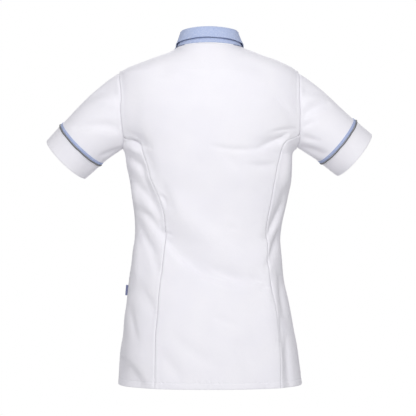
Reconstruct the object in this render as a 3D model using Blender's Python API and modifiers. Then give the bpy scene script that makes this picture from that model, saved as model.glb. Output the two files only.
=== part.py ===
# A women's short-sleeved uniform tunic, filled out as it is worn, with nobody in it.
# Metres, +Z up. The front faces -Y and the wearer's left is +X. The origin is at the middle of the
# shoulders, at the height of the neck points.

import math
from collections import namedtuple

import bmesh
import bpy
from mathutils import Matrix, Vector

# Driving dimensions
CLOTH_WALL = 0.0014
FOLDED_WALL = 0.0018
SEAM_GAP = 0.0003
ARMHOLE_GAP = 0.0007
HEM_HEIGHT = -0.7075
NECK_BACK_RISE = 0.004
NECK_FRONT_DROP = 0.070
NECK_FRONT_POWER = 3
SHOULDER_POINT_HEIGHT = -0.0546
ARMHOLE_HALF_DEPTH = 0.052
LAP_WIDTH = 0.030
LAP_LIFT = 0.0020
LAP_RAMP = 0.011
LAP_MARGIN = 0.002
BUTTON_RADIUS = 0.00575
BUTTON_THICKNESS = 0.0024
BUTTON_SEAT = 0.0006
BUTTON_TOP_HEIGHT = -0.092
BUTTON_PITCH = 0.094
BUTTON_COUNT = 6
BUTTON_EDGE = 0.0005
CUFF_LENGTH = 0.040
CUFF_RADIUS = 0.0560
SLEEVE_FORWARD_TILT = math.radians(9)
BAND_WIDTH = 0.006
BAND_WALL = 0.0008
PIPING_RADIUS = 0.0012
STAND_LIFT = 0.0013
STAND_LAP_LIFT = 0.0023
STAND_LAP = 0.0022
STAND_RISE_BACK = 0.0295
STAND_RISE_FRONT = 0.0260
ROLL_RADIUS = 0.0030
TAB_LENGTH = 0.022
TAB_REACH = 0.005
TAB_WALL = 0.0012
TAB_HEIGHT = -0.511

# How the surfaces run
FOLD_FADE = 0.035
FOLD_TAPER = (0.12, 0.88)
SLEEVE_FOLD_TAPER = (0.15, 0.85)
SLEEVE_FOLD_FADE = (0.12, 0.85)
SLEEVE_SPREAD = (0.12, 0.36)
SHOULDER_SLOPE = math.radians(29)
SHOULDER_SPREAD = 1.5
SLEEVE_SWELL = 0.18
ARMHOLE_BEND_FROM = 0.52
SIDE_BEND_FROM = 0.80
BEND_POWER = 0.8
BACK_SEAM_BEND_FROM = 0.97
CUFF_OVERRUN = 0.005
CUFF_CLEAR = 0.0002
BAND_LIFT = 0.00045
PIPING_CLEAR = 0.0005
PIPING_SHIFT = 0.0007

# Grid counts, and the widths that columns are shared over
EDGE_STEP = 0.003
BACK_WIDTH = 0.30
SIDE_WIDTH = 0.08
FRONT_WIDTH = 0.17
LOWER_LENGTH = 0.5
ROW_CROWDING = 1.3
LOWER_ROWS = 17
ARMHOLE_ROWS = 10
CENTRE_COLUMNS = 18
SHOULDER_COLUMNS = 4
SIDE_COLUMNS = 5
FRONT_COLUMNS = 9
LAP_SHARE = 0.16
SLEEVE_SIDES = 24
SLEEVE_ROWS = 7
SLEEVE_EDGE_SHARE = 0.02
FOLD_STEPS = 8
STAND_COLUMNS = 28
STAND_ROWS = 2
FALL_COLUMNS = 26
ROLL_ROWS = 4
DROP_ROWS = 4
BUTTON_SIDES = 20

# Level sections of the body: half widths to the wearer's left and right, depths behind and in front
# of the shoulder line, and the power of the rounded outline (2 is an ellipse, more is squarer).
Section = namedtuple("Section", "height left right back front power")
SECTIONS = [
    Section(-0.7200, 0.1908, 0.1965, 0.126, 0.1290, 2.30),
    Section(-0.6820, 0.1880, 0.1930, 0.125, 0.1280, 2.30),
    Section(-0.6450, 0.1858, 0.1884, 0.123, 0.1270, 2.30),
    Section(-0.6070, 0.1798, 0.1818, 0.120, 0.1260, 2.30),
    Section(-0.5690, 0.1758, 0.1750, 0.115, 0.1240, 2.30),
    Section(-0.5310, 0.1705, 0.1674, 0.108, 0.1210, 2.30),
    Section(-0.4930, 0.1674, 0.1590, 0.100, 0.1180, 2.30),
    Section(-0.4560, 0.1618, 0.1550, 0.094, 0.1165, 2.30),
    Section(-0.4300, 0.1588, 0.1520, 0.090, 0.1155, 2.30),
    Section(-0.4050, 0.1550, 0.1504, 0.088, 0.1155, 2.30),
    Section(-0.3800, 0.1541, 0.1526, 0.089, 0.1170, 2.30),
    Section(-0.3550, 0.1552, 0.1575, 0.091, 0.1200, 2.30),
    Section(-0.3300, 0.1582, 0.1628, 0.094, 0.1245, 2.30),
    Section(-0.3040, 0.1613, 0.1685, 0.097, 0.1290, 2.30),
    Section(-0.2790, 0.1654, 0.1734, 0.101, 0.1340, 2.30),
    Section(-0.2540, 0.1705, 0.1755, 0.104, 0.1370, 2.30),
    Section(-0.2260, 0.1746, 0.1760, 0.107, 0.1380, 2.25),
    Section(-0.2120, 0.1785, 0.1840, 0.108, 0.1370, 2.20),
    Section(-0.1850, 0.1905, 0.2010, 0.109, 0.1310, 2.10),
    Section(-0.1330, 0.2040, 0.2140, 0.108, 0.1160, 2.10),
    Section(-0.1050, 0.2020, 0.2110, 0.104, 0.1070, 2.10),
    Section(-0.0800, 0.1970, 0.2030, 0.099, 0.0940, 2.10),
    Section(-0.0546, 0.1868, 0.1880, 0.092, 0.0790, 2.10),
    Section(-0.0440, 0.1710, 0.1770, 0.087, 0.0740, 2.10),
    Section(-0.0360, 0.1520, 0.1630, 0.083, 0.0720, 2.10),
    Section(-0.0270, 0.1285, 0.1420, 0.078, 0.0700, 2.10),
    Section(-0.0190, 0.1050, 0.1180, 0.074, 0.0680, 2.10),
    Section(-0.0105, 0.0825, 0.0950, 0.070, 0.0660, 2.10),
    Section(0.0000, 0.0655, 0.0700, 0.064, 0.0620, 2.10),
    Section(0.0100, 0.0570, 0.0595, 0.055, 0.0580, 2.10),
]

# The two curved back seams, from the hem up to where they run into the armholes.
BackSeam = namedtuple("BackSeam", "height left right")
BACK_SEAMS = [
    BackSeam(-0.720, 0.1103, -0.1466),
    BackSeam(-0.704, 0.1101, -0.1464),
    BackSeam(-0.612, 0.1091, -0.1444),
    BackSeam(-0.567, 0.1067, -0.1390),
    BackSeam(-0.491, 0.0995, -0.1267),
    BackSeam(-0.450, 0.0945, -0.1218),
    BackSeam(-0.404, 0.0895, -0.1210),
    BackSeam(-0.363, 0.0894, -0.1230),
    BackSeam(-0.332, 0.0945, -0.1285),
    BackSeam(-0.273, 0.1202, -0.1388),
    BackSeam(-0.231, 0.1357, -0.1473),
    BackSeam(-0.222, 0.1385, -0.1492),
    BackSeam(-0.213, 0.1430, -0.1520),
    BackSeam(-0.205, 0.1500, -0.1560),
    BackSeam(-0.197, 0.1630, -0.1645),
    BackSeam(-0.190, 0.1790, -0.1765),
    BackSeam(-0.183, 0.1900, -0.1895),
]

# Armholes: how low each hangs and where, round from the top, the back seam runs into it.
Armhole = namedtuple("Armhole", "side bottom seam_turn")
ARMHOLES = {
    1: Armhole("left", -0.212, 0.378),
    -1: Armhole("right", -0.210, 0.363),
}

# Sleeves: the trim line's centre, half its width, and the drop of the sleeve below level.
Sleeve = namedtuple("Sleeve", "side centre_x centre_y centre_z radius drop")
SLEEVES = {
    1: Sleeve("left", 0.2696, -0.014, -0.2048, 0.0590, math.radians(44.6)),
    -1: Sleeve("right", -0.2738, -0.014, -0.1983, 0.0575, math.radians(38.8)),
}

# Body folds: each is a soft trough (depth below zero) or ridge along a bent line of x and height.
Fold = namedtuple("Fold", "face start middle end width depth")
FOLDS = [
    Fold("back", (0.096, -0.385), (0.034, -0.476), (-0.092, -0.492), 0.013, -0.0075),
    Fold("back", (0.080, -0.334), (0.006, -0.394), (-0.075, -0.470), 0.022, 0.0065),
    Fold("back", (0.155, -0.262), (0.125, -0.300), (0.088, -0.335), 0.012, -0.0060),
    Fold("back", (0.146, -0.345), (0.120, -0.362), (0.088, -0.396), 0.011, -0.0050),
    Fold("back", (0.140, -0.406), (0.118, -0.432), (0.100, -0.462), 0.011, -0.0045),
    Fold("back", (-0.160, -0.270), (-0.143, -0.330), (-0.116, -0.385), 0.011, -0.0050),
    Fold("back", (-0.143, -0.378), (-0.132, -0.412), (-0.120, -0.450), 0.010, -0.0045),
    Fold("back", (0.166, -0.222), (0.150, -0.226), (0.138, -0.240), 0.009, -0.0060),
    Fold("back", (-0.012, -0.210), (-0.090, -0.203), (-0.166, -0.176), 0.013, -0.0050),
    Fold("back", (-0.098, -0.222), (-0.122, -0.214), (-0.145, -0.204), 0.008, -0.0030),
    Fold("back", (-0.130, -0.120), (-0.150, -0.124), (-0.170, -0.145), 0.010, 0.0022),
    Fold("back", (-0.032, -0.580), (0.024, -0.594), (0.070, -0.640), 0.016, -0.0030),
    Fold("back", (0.150, -0.560), (0.157, -0.620), (0.163, -0.675), 0.010, -0.0040),
    Fold("front", (0.150, -0.250), (0.120, -0.275), (0.085, -0.262), 0.012, -0.0050),
    Fold("front", (-0.152, -0.246), (-0.125, -0.268), (-0.088, -0.270), 0.012, -0.0045),
    Fold("front", (0.140, -0.375), (0.100, -0.420), (0.045, -0.430), 0.012, -0.0055),
    Fold("front", (-0.138, -0.390), (-0.105, -0.408), (-0.050, -0.446), 0.013, -0.0050),
    Fold("front", (0.125, -0.460), (0.085, -0.490), (0.040, -0.480), 0.012, -0.0035),
    Fold("front", (-0.130, -0.470), (-0.090, -0.500), (-0.045, -0.520), 0.012, -0.0035),
    Fold("front", (0.150, -0.120), (0.125, -0.150), (0.105, -0.200), 0.012, -0.0035),
    Fold("front", (-0.150, -0.115), (-0.128, -0.150), (-0.110, -0.190), 0.012, -0.0030),
]

# Sleeve folds: along is 0 at the armhole and 1 at the trim line, turn is 0 on top and 0.25 behind.
SleeveFold = namedtuple("SleeveFold", "side along_start turn_start along_end turn_end width depth")
SLEEVE_FOLDS = [
    SleeveFold("left", 0.06, 0.33, 0.80, 0.17, 0.008, -0.0045),
    SleeveFold("left", 0.03, 0.47, 0.75, 0.40, 0.008, -0.0045),
    SleeveFold("left", 0.10, 0.10, 0.55, 0.06, 0.012, -0.0020),
    SleeveFold("left", 0.05, 0.66, 0.80, 0.80, 0.009, -0.0040),
    SleeveFold("right", 0.05, 0.27, 0.50, 0.10, 0.008, -0.0035),
    SleeveFold("right", 0.05, 0.34, 0.60, 0.22, 0.008, -0.0030),
    SleeveFold("right", 0.03, 0.46, 0.80, 0.38, 0.009, -0.0045),
    SleeveFold("right", 0.05, 0.68, 0.75, 0.82, 0.009, -0.0035),
]

WHITE = (0.90, 0.90, 0.93)
CHAMBRAY = (0.50, 0.60, 0.79)
BAND_BLUE = (0.36, 0.44, 0.60)
PIPING_GREY = (0.17, 0.175, 0.18)
TAB_BLUE = (0.20, 0.22, 0.36)
BUTTON_WHITE = (0.88, 0.88, 0.90)

GARMENT = "uniform_tunic"


def clear_scene():
    for item in list(bpy.data.objects):
        bpy.data.objects.remove(item, do_unlink=True)


def make_material(name, colour, roughness):
    material = bpy.data.materials.new(name)
    material.use_nodes = True
    shader = material.node_tree.nodes["Principled BSDF"]
    shader.inputs["Base Color"].default_value = (*colour, 1.0)
    shader.inputs["Roughness"].default_value = roughness
    shader.inputs["Metallic"].default_value = 0.0
    return material


def mix(start, end, share):
    return start + (end - start) * share


def ease(low, high, value):
    share = min(1.0, max(0.0, (value - low) / (high - low)))
    return share * share * (3.0 - 2.0 * share)


def smooth_column(rows, column):
    # A monotone cubic through one column of a table, so it never swings past its rows. The first
    # column holds the keys.
    keys = [row[0] for row in rows]
    values = [getattr(row, column) for row in rows]
    slopes = [(values[i + 1] - values[i]) / (keys[i + 1] - keys[i]) for i in range(len(keys) - 1)]
    tangents = [slopes[0]]
    for before, after in zip(slopes, slopes[1:]):
        tangents.append(2.0 * before * after / (before + after) if before * after > 0.0 else 0.0)
    tangents.append(slopes[-1])

    def value_at(height):
        height = min(keys[-1], max(keys[0], height))
        i = max(k for k in range(len(keys) - 1) if keys[k] <= height)
        step = keys[i + 1] - keys[i]
        t = (height - keys[i]) / step
        start = values[i] * (1.0 + 2.0 * t) * (1.0 - t) ** 2 + tangents[i] * step * t * (1.0 - t) ** 2
        end = values[i + 1] * t * t * (3.0 - 2.0 * t) + tangents[i + 1] * step * t * t * (t - 1.0)
        return start + end

    return value_at


BODY = {column: smooth_column(SECTIONS, column) for column in Section._fields[1:]}
BACK_SEAM_X = {1: smooth_column(BACK_SEAMS, "left"), -1: smooth_column(BACK_SEAMS, "right")}


# The angle runs round the body: 0 behind, a quarter turn at the wearer's left, a half turn in front.
def body_radius(angle, height):
    across = math.sin(angle)
    behind = math.cos(angle)
    width = BODY["left" if across > 0.0 else "right"](height)
    depth = BODY["back" if behind > 0.0 else "front"](height)
    power = BODY["power"](height)
    return (abs(across / width) ** power + abs(behind / depth) ** power) ** (-1.0 / power)


def plain_point(angle, height):
    radius = body_radius(angle, height)
    return Vector((radius * math.sin(angle), radius * math.cos(angle), height))


def outward(angle, height):
    turn = plain_point(angle - 0.01, height) - plain_point(angle + 0.01, height)
    rise = plain_point(angle, height + 0.002) - plain_point(angle, height - 0.002)
    return turn.cross(rise).normalized()


def fold_line(fold):
    points = []
    for i in range(FOLD_STEPS + 1):
        t = i / FOLD_STEPS
        x = fold.start[0] * (1 - t) ** 2 + fold.middle[0] * 2 * t * (1 - t) + fold.end[0] * t * t
        z = fold.start[1] * (1 - t) ** 2 + fold.middle[1] * 2 * t * (1 - t) + fold.end[1] * t * t
        points.append(Vector((x, z)))
    return points


FOLD_LINES = [(fold, fold_line(fold)) for fold in FOLDS]


def line_distance(point, line):
    # The distance to a bent line, and how far along it the nearest place is, from 0 to 1.
    nearest = (1.0, 0.0)
    for i in range(len(line) - 1):
        run = line[i + 1] - line[i]
        share = min(1.0, max(0.0, (point - line[i]).dot(run) / run.length_squared))
        gap = (point - line[i] - run * share).length
        if gap < nearest[0]:
            nearest = (gap, (i + share) / (len(line) - 1))
    return nearest


def fold_depth(fold, gap, share):
    # Soft across the fold, and tapered along it.
    return fold.depth * math.exp(-((gap / fold.width) ** 2)) * math.sin(math.pi * share)


def body_fold(point):
    total = 0.0
    face = "back" if point.y > 0.0 else "front"
    for fold, line in FOLD_LINES:
        if fold.face == face:
            gap, along = line_distance(Vector((point.x, point.z)), line)
            total += fold_depth(fold, gap, mix(*FOLD_TAPER, along))
    return total * ease(0.0, FOLD_FADE, abs(point.y))


def body_point(angle, height, lift=0.0):
    point = plain_point(angle, height)
    return point + outward(angle, height) * (body_fold(point) + lift)


def angle_at(x, height, behind=True):
    # The angle where the section at this height reaches x, behind or in front.
    width = BODY["left" if x > 0.0 else "right"](height)
    depth = BODY["back" if behind else "front"](height)
    power = BODY["power"](height)
    y = depth * max(0.0, 1.0 - min(1.0, abs(x) / width) ** power) ** (1.0 / power)
    return math.atan2(x, y if behind else -y)


def neck_height(angle):
    if abs(angle) < math.pi / 2:
        return NECK_BACK_RISE * math.cos(angle) ** 2
    return -NECK_FRONT_DROP * math.sin(abs(angle) - math.pi / 2) ** NECK_FRONT_POWER


def armhole_place(side, turn):
    # The angle and height of the armhole edge: turn is 0 at the shoulder, 0.25 behind, 0.5 below.
    bottom = ARMHOLES[side].bottom
    height = mix(bottom, SHOULDER_POINT_HEIGHT, 0.5 + 0.5 * math.cos(2 * math.pi * turn))
    y = ARMHOLE_HALF_DEPTH * math.sin(2 * math.pi * turn)
    width = BODY["left" if side > 0 else "right"](height)
    depth = BODY["back" if y > 0.0 else "front"](height)
    power = BODY["power"](height)
    x = side * width * (1.0 - (abs(y) / depth) ** power) ** (1.0 / power)
    return math.atan2(x, y), height


def blend_place(start, end, share):
    return mix(start[0], end[0], share), mix(start[1], end[1], share)


def spaced(count, length):
    # Even steps from 0 to 1 with one narrow step at each end, like the turned edge of a seam.
    edge = EDGE_STEP / length
    return [0.0, edge] + [i / count for i in range(1, count)] + [1.0 - edge, 1.0]


def bent_grid(name, columns, rows, point_at, wraps=False):
    # A flat grid whose points are carried onto the surface that point_at gives.
    grid = bmesh.new()
    bmesh.ops.create_grid(grid, x_segments=len(columns) - 1, y_segments=len(rows) - 1, size=1.0)
    for vertex in grid.verts:
        i = round((vertex.co.x + 1.0) / 2.0 * (len(columns) - 1))
        j = round((vertex.co.y + 1.0) / 2.0 * (len(rows) - 1))
        vertex.co = point_at(columns[i], rows[j])
    if wraps:
        bmesh.ops.remove_doubles(grid, verts=grid.verts, dist=0.00001)
    mesh = bpy.data.meshes.new(name)
    grid.to_mesh(mesh)
    grid.free()
    mesh.shade_smooth()
    return mesh


def add_piece(name, mesh, material, wall=None):
    piece = bpy.data.objects.new(name, mesh)
    mesh.materials.append(material)
    piece.parent = bpy.data.objects[GARMENT]
    bpy.data.collections[GARMENT].objects.link(piece)
    if wall:
        shell = piece.modifiers.new("wall", "SOLIDIFY")
        shell.thickness = wall
        shell.offset = -1.0
    return piece


def patch(start_edge, end_edge, top_edge, top_share):
    # A patch between two side edges whose top rows bend up into the top edge.
    def place_at(u, v):
        angle, height = blend_place(start_edge(v), end_edge(v), u)
        level = blend_place(top_edge(0.0), top_edge(1.0), u)
        top = top_edge(u)
        pull = ease(top_share, 1.0, v) ** BEND_POWER
        return angle + (top[0] - level[0]) * pull, height + (top[1] - level[1]) * pull

    return place_at


def lower_heights():
    # Row places from the hem to the armhole, closer together near the top.
    rows = [1.0 - (1.0 - i / LOWER_ROWS) ** ROW_CROWDING for i in range(LOWER_ROWS + 1)]
    return [rows[0], EDGE_STEP / LOWER_LENGTH] + rows[1:]


def body_rows():
    # The lower rows, then those beside the armhole, with a narrow one below the shoulder seam.
    upper = [i / ARMHOLE_ROWS for i in range(1, ARMHOLE_ROWS)] + [1.0 - 0.25 / ARMHOLE_ROWS, 1.0]
    return [0.5 * row for row in lower_heights()] + [0.5 + 0.5 * row for row in upper]


def back_seam_edge(side, share, shift):
    # A place on the back seam, share 0 at the hem and 1 at the armhole, moved aside by shift.
    corner_angle, corner_height = armhole_place(side, ARMHOLES[side].seam_turn)
    height = mix(HEM_HEIGHT, corner_height, share)
    angle = angle_at(BACK_SEAM_X[side](height), height)
    angle = mix(angle, corner_angle, ease(BACK_SEAM_BEND_FROM, 1.0, share))
    return angle + shift / body_radius(angle, height), height


def shoulder_seam(side, share):
    # Share 0 at the shoulder point, 1 at the neck point.
    return side * math.pi / 2, mix(SHOULDER_POINT_HEIGHT, 0.0, share)


def make_back_centre(material):
    half_gap = SEAM_GAP / 2
    seam_share = SHOULDER_COLUMNS / CENTRE_COLUMNS

    def side_edge(side):
        def edge(v):
            if v <= 0.5:
                return back_seam_edge(side, v / 0.5, -side * half_gap)
            turn = mix(ARMHOLES[side].seam_turn, 0.0, (v - 0.5) / 0.5)
            angle, height = armhole_place(side, turn)
            return angle - side * half_gap / body_radius(angle, height), height

        return edge

    def top_edge(u):
        if u < seam_share:
            angle, height = shoulder_seam(1, u / seam_share)
        elif u > 1.0 - seam_share:
            angle, height = shoulder_seam(-1, (1.0 - u) / seam_share)
        else:
            angle = mix(math.pi / 2, -math.pi / 2, (u - seam_share) / (1.0 - 2.0 * seam_share))
            height = neck_height(angle)
        limit = math.pi / 2 - half_gap / body_radius(angle, height)
        return min(limit, max(-limit, angle)), height

    place = patch(side_edge(1), side_edge(-1), top_edge, ARMHOLE_BEND_FROM)
    columns = spaced(CENTRE_COLUMNS, BACK_WIDTH)
    mesh = bent_grid("back_centre", columns, body_rows(), lambda u, v: body_point(*place(u, v)))
    return add_piece("back_centre", mesh, material, CLOTH_WALL)


def make_back_side(side, material):
    name = "back_side_" + ARMHOLES[side].side
    half_gap = SEAM_GAP / 2

    def seam_edge(v):
        return back_seam_edge(side, v, side * half_gap)

    def side_edge(v):
        height = mix(HEM_HEIGHT, ARMHOLES[side].bottom - half_gap, v)
        angle = side * math.pi / 2
        return angle - side * half_gap / body_radius(angle, height), height

    def armhole_edge(u):
        turn = mix(0.5, ARMHOLES[side].seam_turn, u if side > 0 else 1.0 - u)
        angle, height = armhole_place(side, turn)
        return angle, height - half_gap

    edges = (side_edge, seam_edge) if side > 0 else (seam_edge, side_edge)
    place = patch(edges[0], edges[1], armhole_edge, SIDE_BEND_FROM)
    columns = spaced(SIDE_COLUMNS, SIDE_WIDTH)
    mesh = bent_grid(name, columns, lower_heights(), lambda u, v: body_point(*place(u, v)))
    return add_piece(name, mesh, material, CLOTH_WALL)


def lap_lift(x, side):
    # The right front rises over the left one along the middle.
    if side > 0:
        return 0.0
    top = -LAP_WIDTH / 2 - LAP_MARGIN
    return LAP_LIFT * ease(top - LAP_RAMP, top, x)


def front_place(side):
    # Share m is 0 at the lapped edge past the middle and 1 at the side seam and armhole.
    half_gap = SEAM_GAP / 2
    bottom = ARMHOLES[side].bottom
    lap_run = LAP_WIDTH + LAP_MARGIN + LAP_RAMP
    seam_share = SHOULDER_COLUMNS / FRONT_COLUMNS

    def strip_place(x, v):
        top = neck_height(angle_at(x, -NECK_FRONT_DROP, False))
        if v <= 0.5:
            height = mix(HEM_HEIGHT, bottom, v / 0.5)
        else:
            height = mix(bottom, top, (v - 0.5) / 0.5)
        return angle_at(x, height, False), height

    def strip_x(share):
        return side * (lap_run * share - LAP_WIDTH / 2)

    def side_edge(v):
        if v <= 0.5:
            height = mix(HEM_HEIGHT, bottom - half_gap, v / 0.5)
            return side * (math.pi / 2 + half_gap / body_radius(math.pi / 2, height)), height
        angle, height = armhole_place(side, mix(0.5, 1.0, (v - 0.5) / 0.5))
        least = math.pi / 2 + half_gap / body_radius(angle, height)
        return side * max(abs(angle), least), height - half_gap

    def top_edge(u):
        if u > 1.0 - seam_share:
            angle, height = shoulder_seam(side, (1.0 - u) / seam_share)
        else:
            start = strip_place(strip_x(1.0), 1.0)[0]
            angle = mix(start, side * math.pi / 2, u / (1.0 - seam_share))
            height = neck_height(angle)
        least = math.pi / 2 + half_gap / body_radius(angle, height)
        return side * max(least, abs(angle)), height

    def inner_edge(v):
        return strip_place(strip_x(1.0), v)

    inner = patch(inner_edge, side_edge, top_edge, ARMHOLE_BEND_FROM)

    def place_at(m, v):
        if m < LAP_SHARE:
            return strip_place(strip_x(m / LAP_SHARE), v)
        return inner((m - LAP_SHARE) / (1.0 - LAP_SHARE), v)

    return place_at


def front_columns():
    # Columns at the lapped edge, the foot and top of the lap's rise, then evenly to the side.
    lap_run = LAP_WIDTH + LAP_MARGIN + LAP_RAMP
    strip = [0.0, EDGE_STEP / lap_run, (LAP_WIDTH + LAP_MARGIN) / lap_run]
    rest = spaced(FRONT_COLUMNS, FRONT_WIDTH)
    del rest[1]
    return [share * LAP_SHARE for share in strip] + [mix(LAP_SHARE, 1.0, share) for share in rest]


def make_front(side, material):
    name = "front_" + ARMHOLES[side].side
    place = front_place(side)
    columns = front_columns()
    if side < 0:
        columns = [1.0 - m for m in reversed(columns)]

    def point_at(u, v):
        angle, height = place(u if side > 0 else 1.0 - u, v)
        return body_point(angle, height, lap_lift(plain_point(angle, height).x, side))

    mesh = bent_grid(name, columns, body_rows(), point_at)
    return add_piece(name, mesh, material, CLOTH_WALL)


def sleeve_axes(side):
    # The sleeve's own directions: along it, up across it, and to its back.
    drop = SLEEVES[side].drop
    level = math.cos(SLEEVE_FORWARD_TILT)
    forward = -math.sin(SLEEVE_FORWARD_TILT)
    along = Vector((side * math.cos(drop) * level, forward, -math.sin(drop) * level))
    up = Vector((side * math.sin(drop), 0.0, math.cos(drop)))
    back = up.cross(along) * side
    return along, up, back


def ring_point(side, turn, past, radius):
    # A point on a ring across the sleeve, past the trim line by a distance along the sleeve.
    row = SLEEVES[side]
    along, up, back = sleeve_axes(side)
    centre = Vector((row.centre_x, row.centre_y, row.centre_z))
    swing = 2 * math.pi * turn
    return centre + along * past + up * radius * math.cos(swing) + back * radius * math.sin(swing)


def sleeve_fold(side, along, turn):
    # Distances are measured on the sleeve laid flat, as long and as wide as SLEEVE_SPREAD.
    total = 0.0
    length, width = SLEEVE_SPREAD
    for fold in SLEEVE_FOLDS:
        if fold.side == SLEEVES[side].side:
            start = Vector((fold.along_start * length, fold.turn_start * width))
            end = Vector((fold.along_end * length, fold.turn_end * width))
            gap, share = line_distance(Vector((along * length, turn * width)), [start, end])
            total += fold_depth(fold, gap, mix(*SLEEVE_FOLD_TAPER, share))
    return total * ease(0.0, SLEEVE_FOLD_FADE[0], along) * ease(1.0, SLEEVE_FOLD_FADE[1], along)


def sleeve_base(side, along, turn):
    angle, height = armhole_place(side, turn)
    start = body_point(angle, height) + Vector((side * ARMHOLE_GAP, 0.0, 0.0))
    end = ring_point(side, turn, 0.0, SLEEVES[side].radius)
    straight = end - start
    axis, up, back = sleeve_axes(side)
    shoulder = Vector((side * math.cos(SHOULDER_SLOPE), 0.0, -math.sin(SHOULDER_SLOPE)))
    top_share = max(0.0, math.cos(2 * math.pi * turn)) ** SHOULDER_SPREAD
    swell = back * SLEEVE_SWELL * math.sin(2 * math.pi * turn)
    leave = (straight.normalized() + swell).normalized()
    leave = leave.lerp(shoulder, top_share).normalized() * straight.length
    arrive = axis * straight.length
    t = along
    return (
        start * (1 + 2 * t) * (1 - t) ** 2
        + leave * t * (1 - t) ** 2
        + end * t * t * (3 - 2 * t)
        + arrive * t * t * (t - 1)
    )


def sleeve_point(side, along, turn, lift=0.0):
    base = sleeve_base(side, along, turn)
    low = max(0.0, along - 0.02)
    run = sleeve_base(side, low + 0.04, turn) - sleeve_base(side, low, turn)
    round_step = sleeve_base(side, along, turn + 0.01) - sleeve_base(side, along, turn - 0.01)
    away = run.cross(round_step).normalized() * side
    return base + away * (sleeve_fold(side, along, turn) + lift)


def tube_turn(side, u):
    # Runs round the sleeve from its underarm seam, the way that turns its faces outward.
    return (0.5 - u) % 1.0 if side > 0 else (0.5 + u) % 1.0


def even_steps(count):
    return [i / count for i in range(count + 1)]


def make_sleeve(side, white, blue, grey):
    word = SLEEVES[side].side
    radius = SLEEVES[side].radius
    columns = even_steps(SLEEVE_SIDES)
    inner_rows = even_steps(SLEEVE_ROWS)[1:-1]
    rows = [0.0, SLEEVE_EDGE_SHARE] + inner_rows + [1.0 - SLEEVE_EDGE_SHARE, 1.0]

    def sleeve_at(u, v):
        return sleeve_point(side, v, tube_turn(side, u))

    mesh = bent_grid("sleeve_" + word, columns, rows, sleeve_at, True)
    add_piece("sleeve_" + word, mesh, white, CLOTH_WALL)

    def cuff_at(u, v):
        past = mix(SEAM_GAP, CUFF_LENGTH + CUFF_OVERRUN, v)
        return ring_point(side, tube_turn(side, u), past, mix(radius, CUFF_RADIUS, v) + CUFF_CLEAR)

    mesh = bent_grid("cuff_" + word, columns, even_steps(2), cuff_at, True)
    add_piece("cuff_" + word, mesh, white, FOLDED_WALL)

    def band_at(u, v):
        # The band lies on the sleeve, its points moved out from the sleeve's own.
        turn = tube_turn(side, u)
        length = (sleeve_point(side, 1.0, turn) - sleeve_point(side, 0.0, turn)).length
        along = 1.0 - mix(BAND_WIDTH + PIPING_RADIUS, PIPING_RADIUS, v) / length
        return sleeve_point(side, along, turn, BAND_WALL + BAND_LIFT)

    mesh = bent_grid("sleeve_band_" + word, columns, even_steps(1), band_at, True)
    add_piece("sleeve_band_" + word, mesh, blue, BAND_WALL)

    ring_radius = radius + PIPING_RADIUS + PIPING_CLEAR
    ring = []
    for i in range(SLEEVE_SIDES):
        ring.append(ring_point(side, tube_turn(side, i / SLEEVE_SIDES), PIPING_SHIFT, ring_radius))
    add_piece("sleeve_piping_" + word, piping_mesh("sleeve_piping_" + word, ring), grey)


def piping_mesh(name, points):
    curve = bpy.data.curves.new(name + "_line", "CURVE")
    curve.dimensions = "3D"
    spline = curve.splines.new("POLY")
    spline.points.add(len(points) - 1)
    for knot, point in zip(spline.points, points):
        knot.co = (*point, 1.0)
    spline.use_cyclic_u = True
    curve.bevel_depth = PIPING_RADIUS
    curve.bevel_resolution = 1
    line = bpy.data.objects.new(name + "_line", curve)
    bpy.context.scene.collection.objects.link(line)
    mesh = bpy.data.meshes.new_from_object(line.evaluated_get(bpy.context.evaluated_depsgraph_get()))
    mesh.name = name
    bpy.data.objects.remove(line, do_unlink=True)
    mesh.shade_smooth()
    return mesh


# The collar: a stand that rises from the neck edge and leans in, and a fall that rolls over it.
# Turned is the place round the neck from the middle of the back, in half turns.
CollarRow = namedtuple("CollarRow", "turned lean rise fall spring")
COLLAR = [
    CollarRow(0.00, 0.83, STAND_RISE_BACK, 0.0188, 0.0032),
    CollarRow(0.25, 0.83, STAND_RISE_BACK, 0.0202, 0.0028),
    CollarRow(0.37, 0.83, STAND_RISE_BACK, 0.0216, 0.0022),
    CollarRow(0.50, 0.83, 0.0295, 0.0240, 0.0016),
    CollarRow(0.60, 0.84, 0.0285, 0.0265, 0.0016),
    CollarRow(0.72, 0.86, 0.0275, 0.0350, 0.0020),
    CollarRow(0.92, 0.91, STAND_RISE_FRONT, 0.0520, 0.0032),
    CollarRow(1.10, 0.91, STAND_RISE_FRONT, 0.0520, 0.0032),
]
COLLAR_AT = {column: smooth_column(COLLAR, column) for column in CollarRow._fields[1:]}
STAND_WALL = 0.0016
FALL_WALL = 0.0015
FALL_CLEAR = 0.0016
FALL_END = 0.922
FALL_POINT_END = 0.840
STAND_START = math.radians(184)
STAND_END = math.radians(-189)
STAND_LAP_RAMP = (math.radians(168), math.radians(174))
STAND_LIFT_RAMP = (math.radians(152), math.radians(166))


def stand_place(angle, share):
    # Radius and height on the stand's outer face, share 0 at the neck edge and 1 at the top.
    turned = abs(angle) / math.pi
    wrapped = angle if abs(angle) <= math.pi else angle - math.copysign(2 * math.pi, angle)
    edge = body_point(wrapped, neck_height(wrapped))
    base = math.hypot(edge.x, edge.y)
    top = base * COLLAR_AT["lean"](turned)
    # The wearer's right end laps over the left end in front.
    lap = STAND_LAP * ease(*STAND_LAP_RAMP, -angle)
    lift = STAND_LIFT + STAND_LAP_LIFT * ease(*STAND_LIFT_RAMP, abs(angle))
    return mix(base, top, share) + lap, edge.z + lift + COLLAR_AT["rise"](turned) * share


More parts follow.
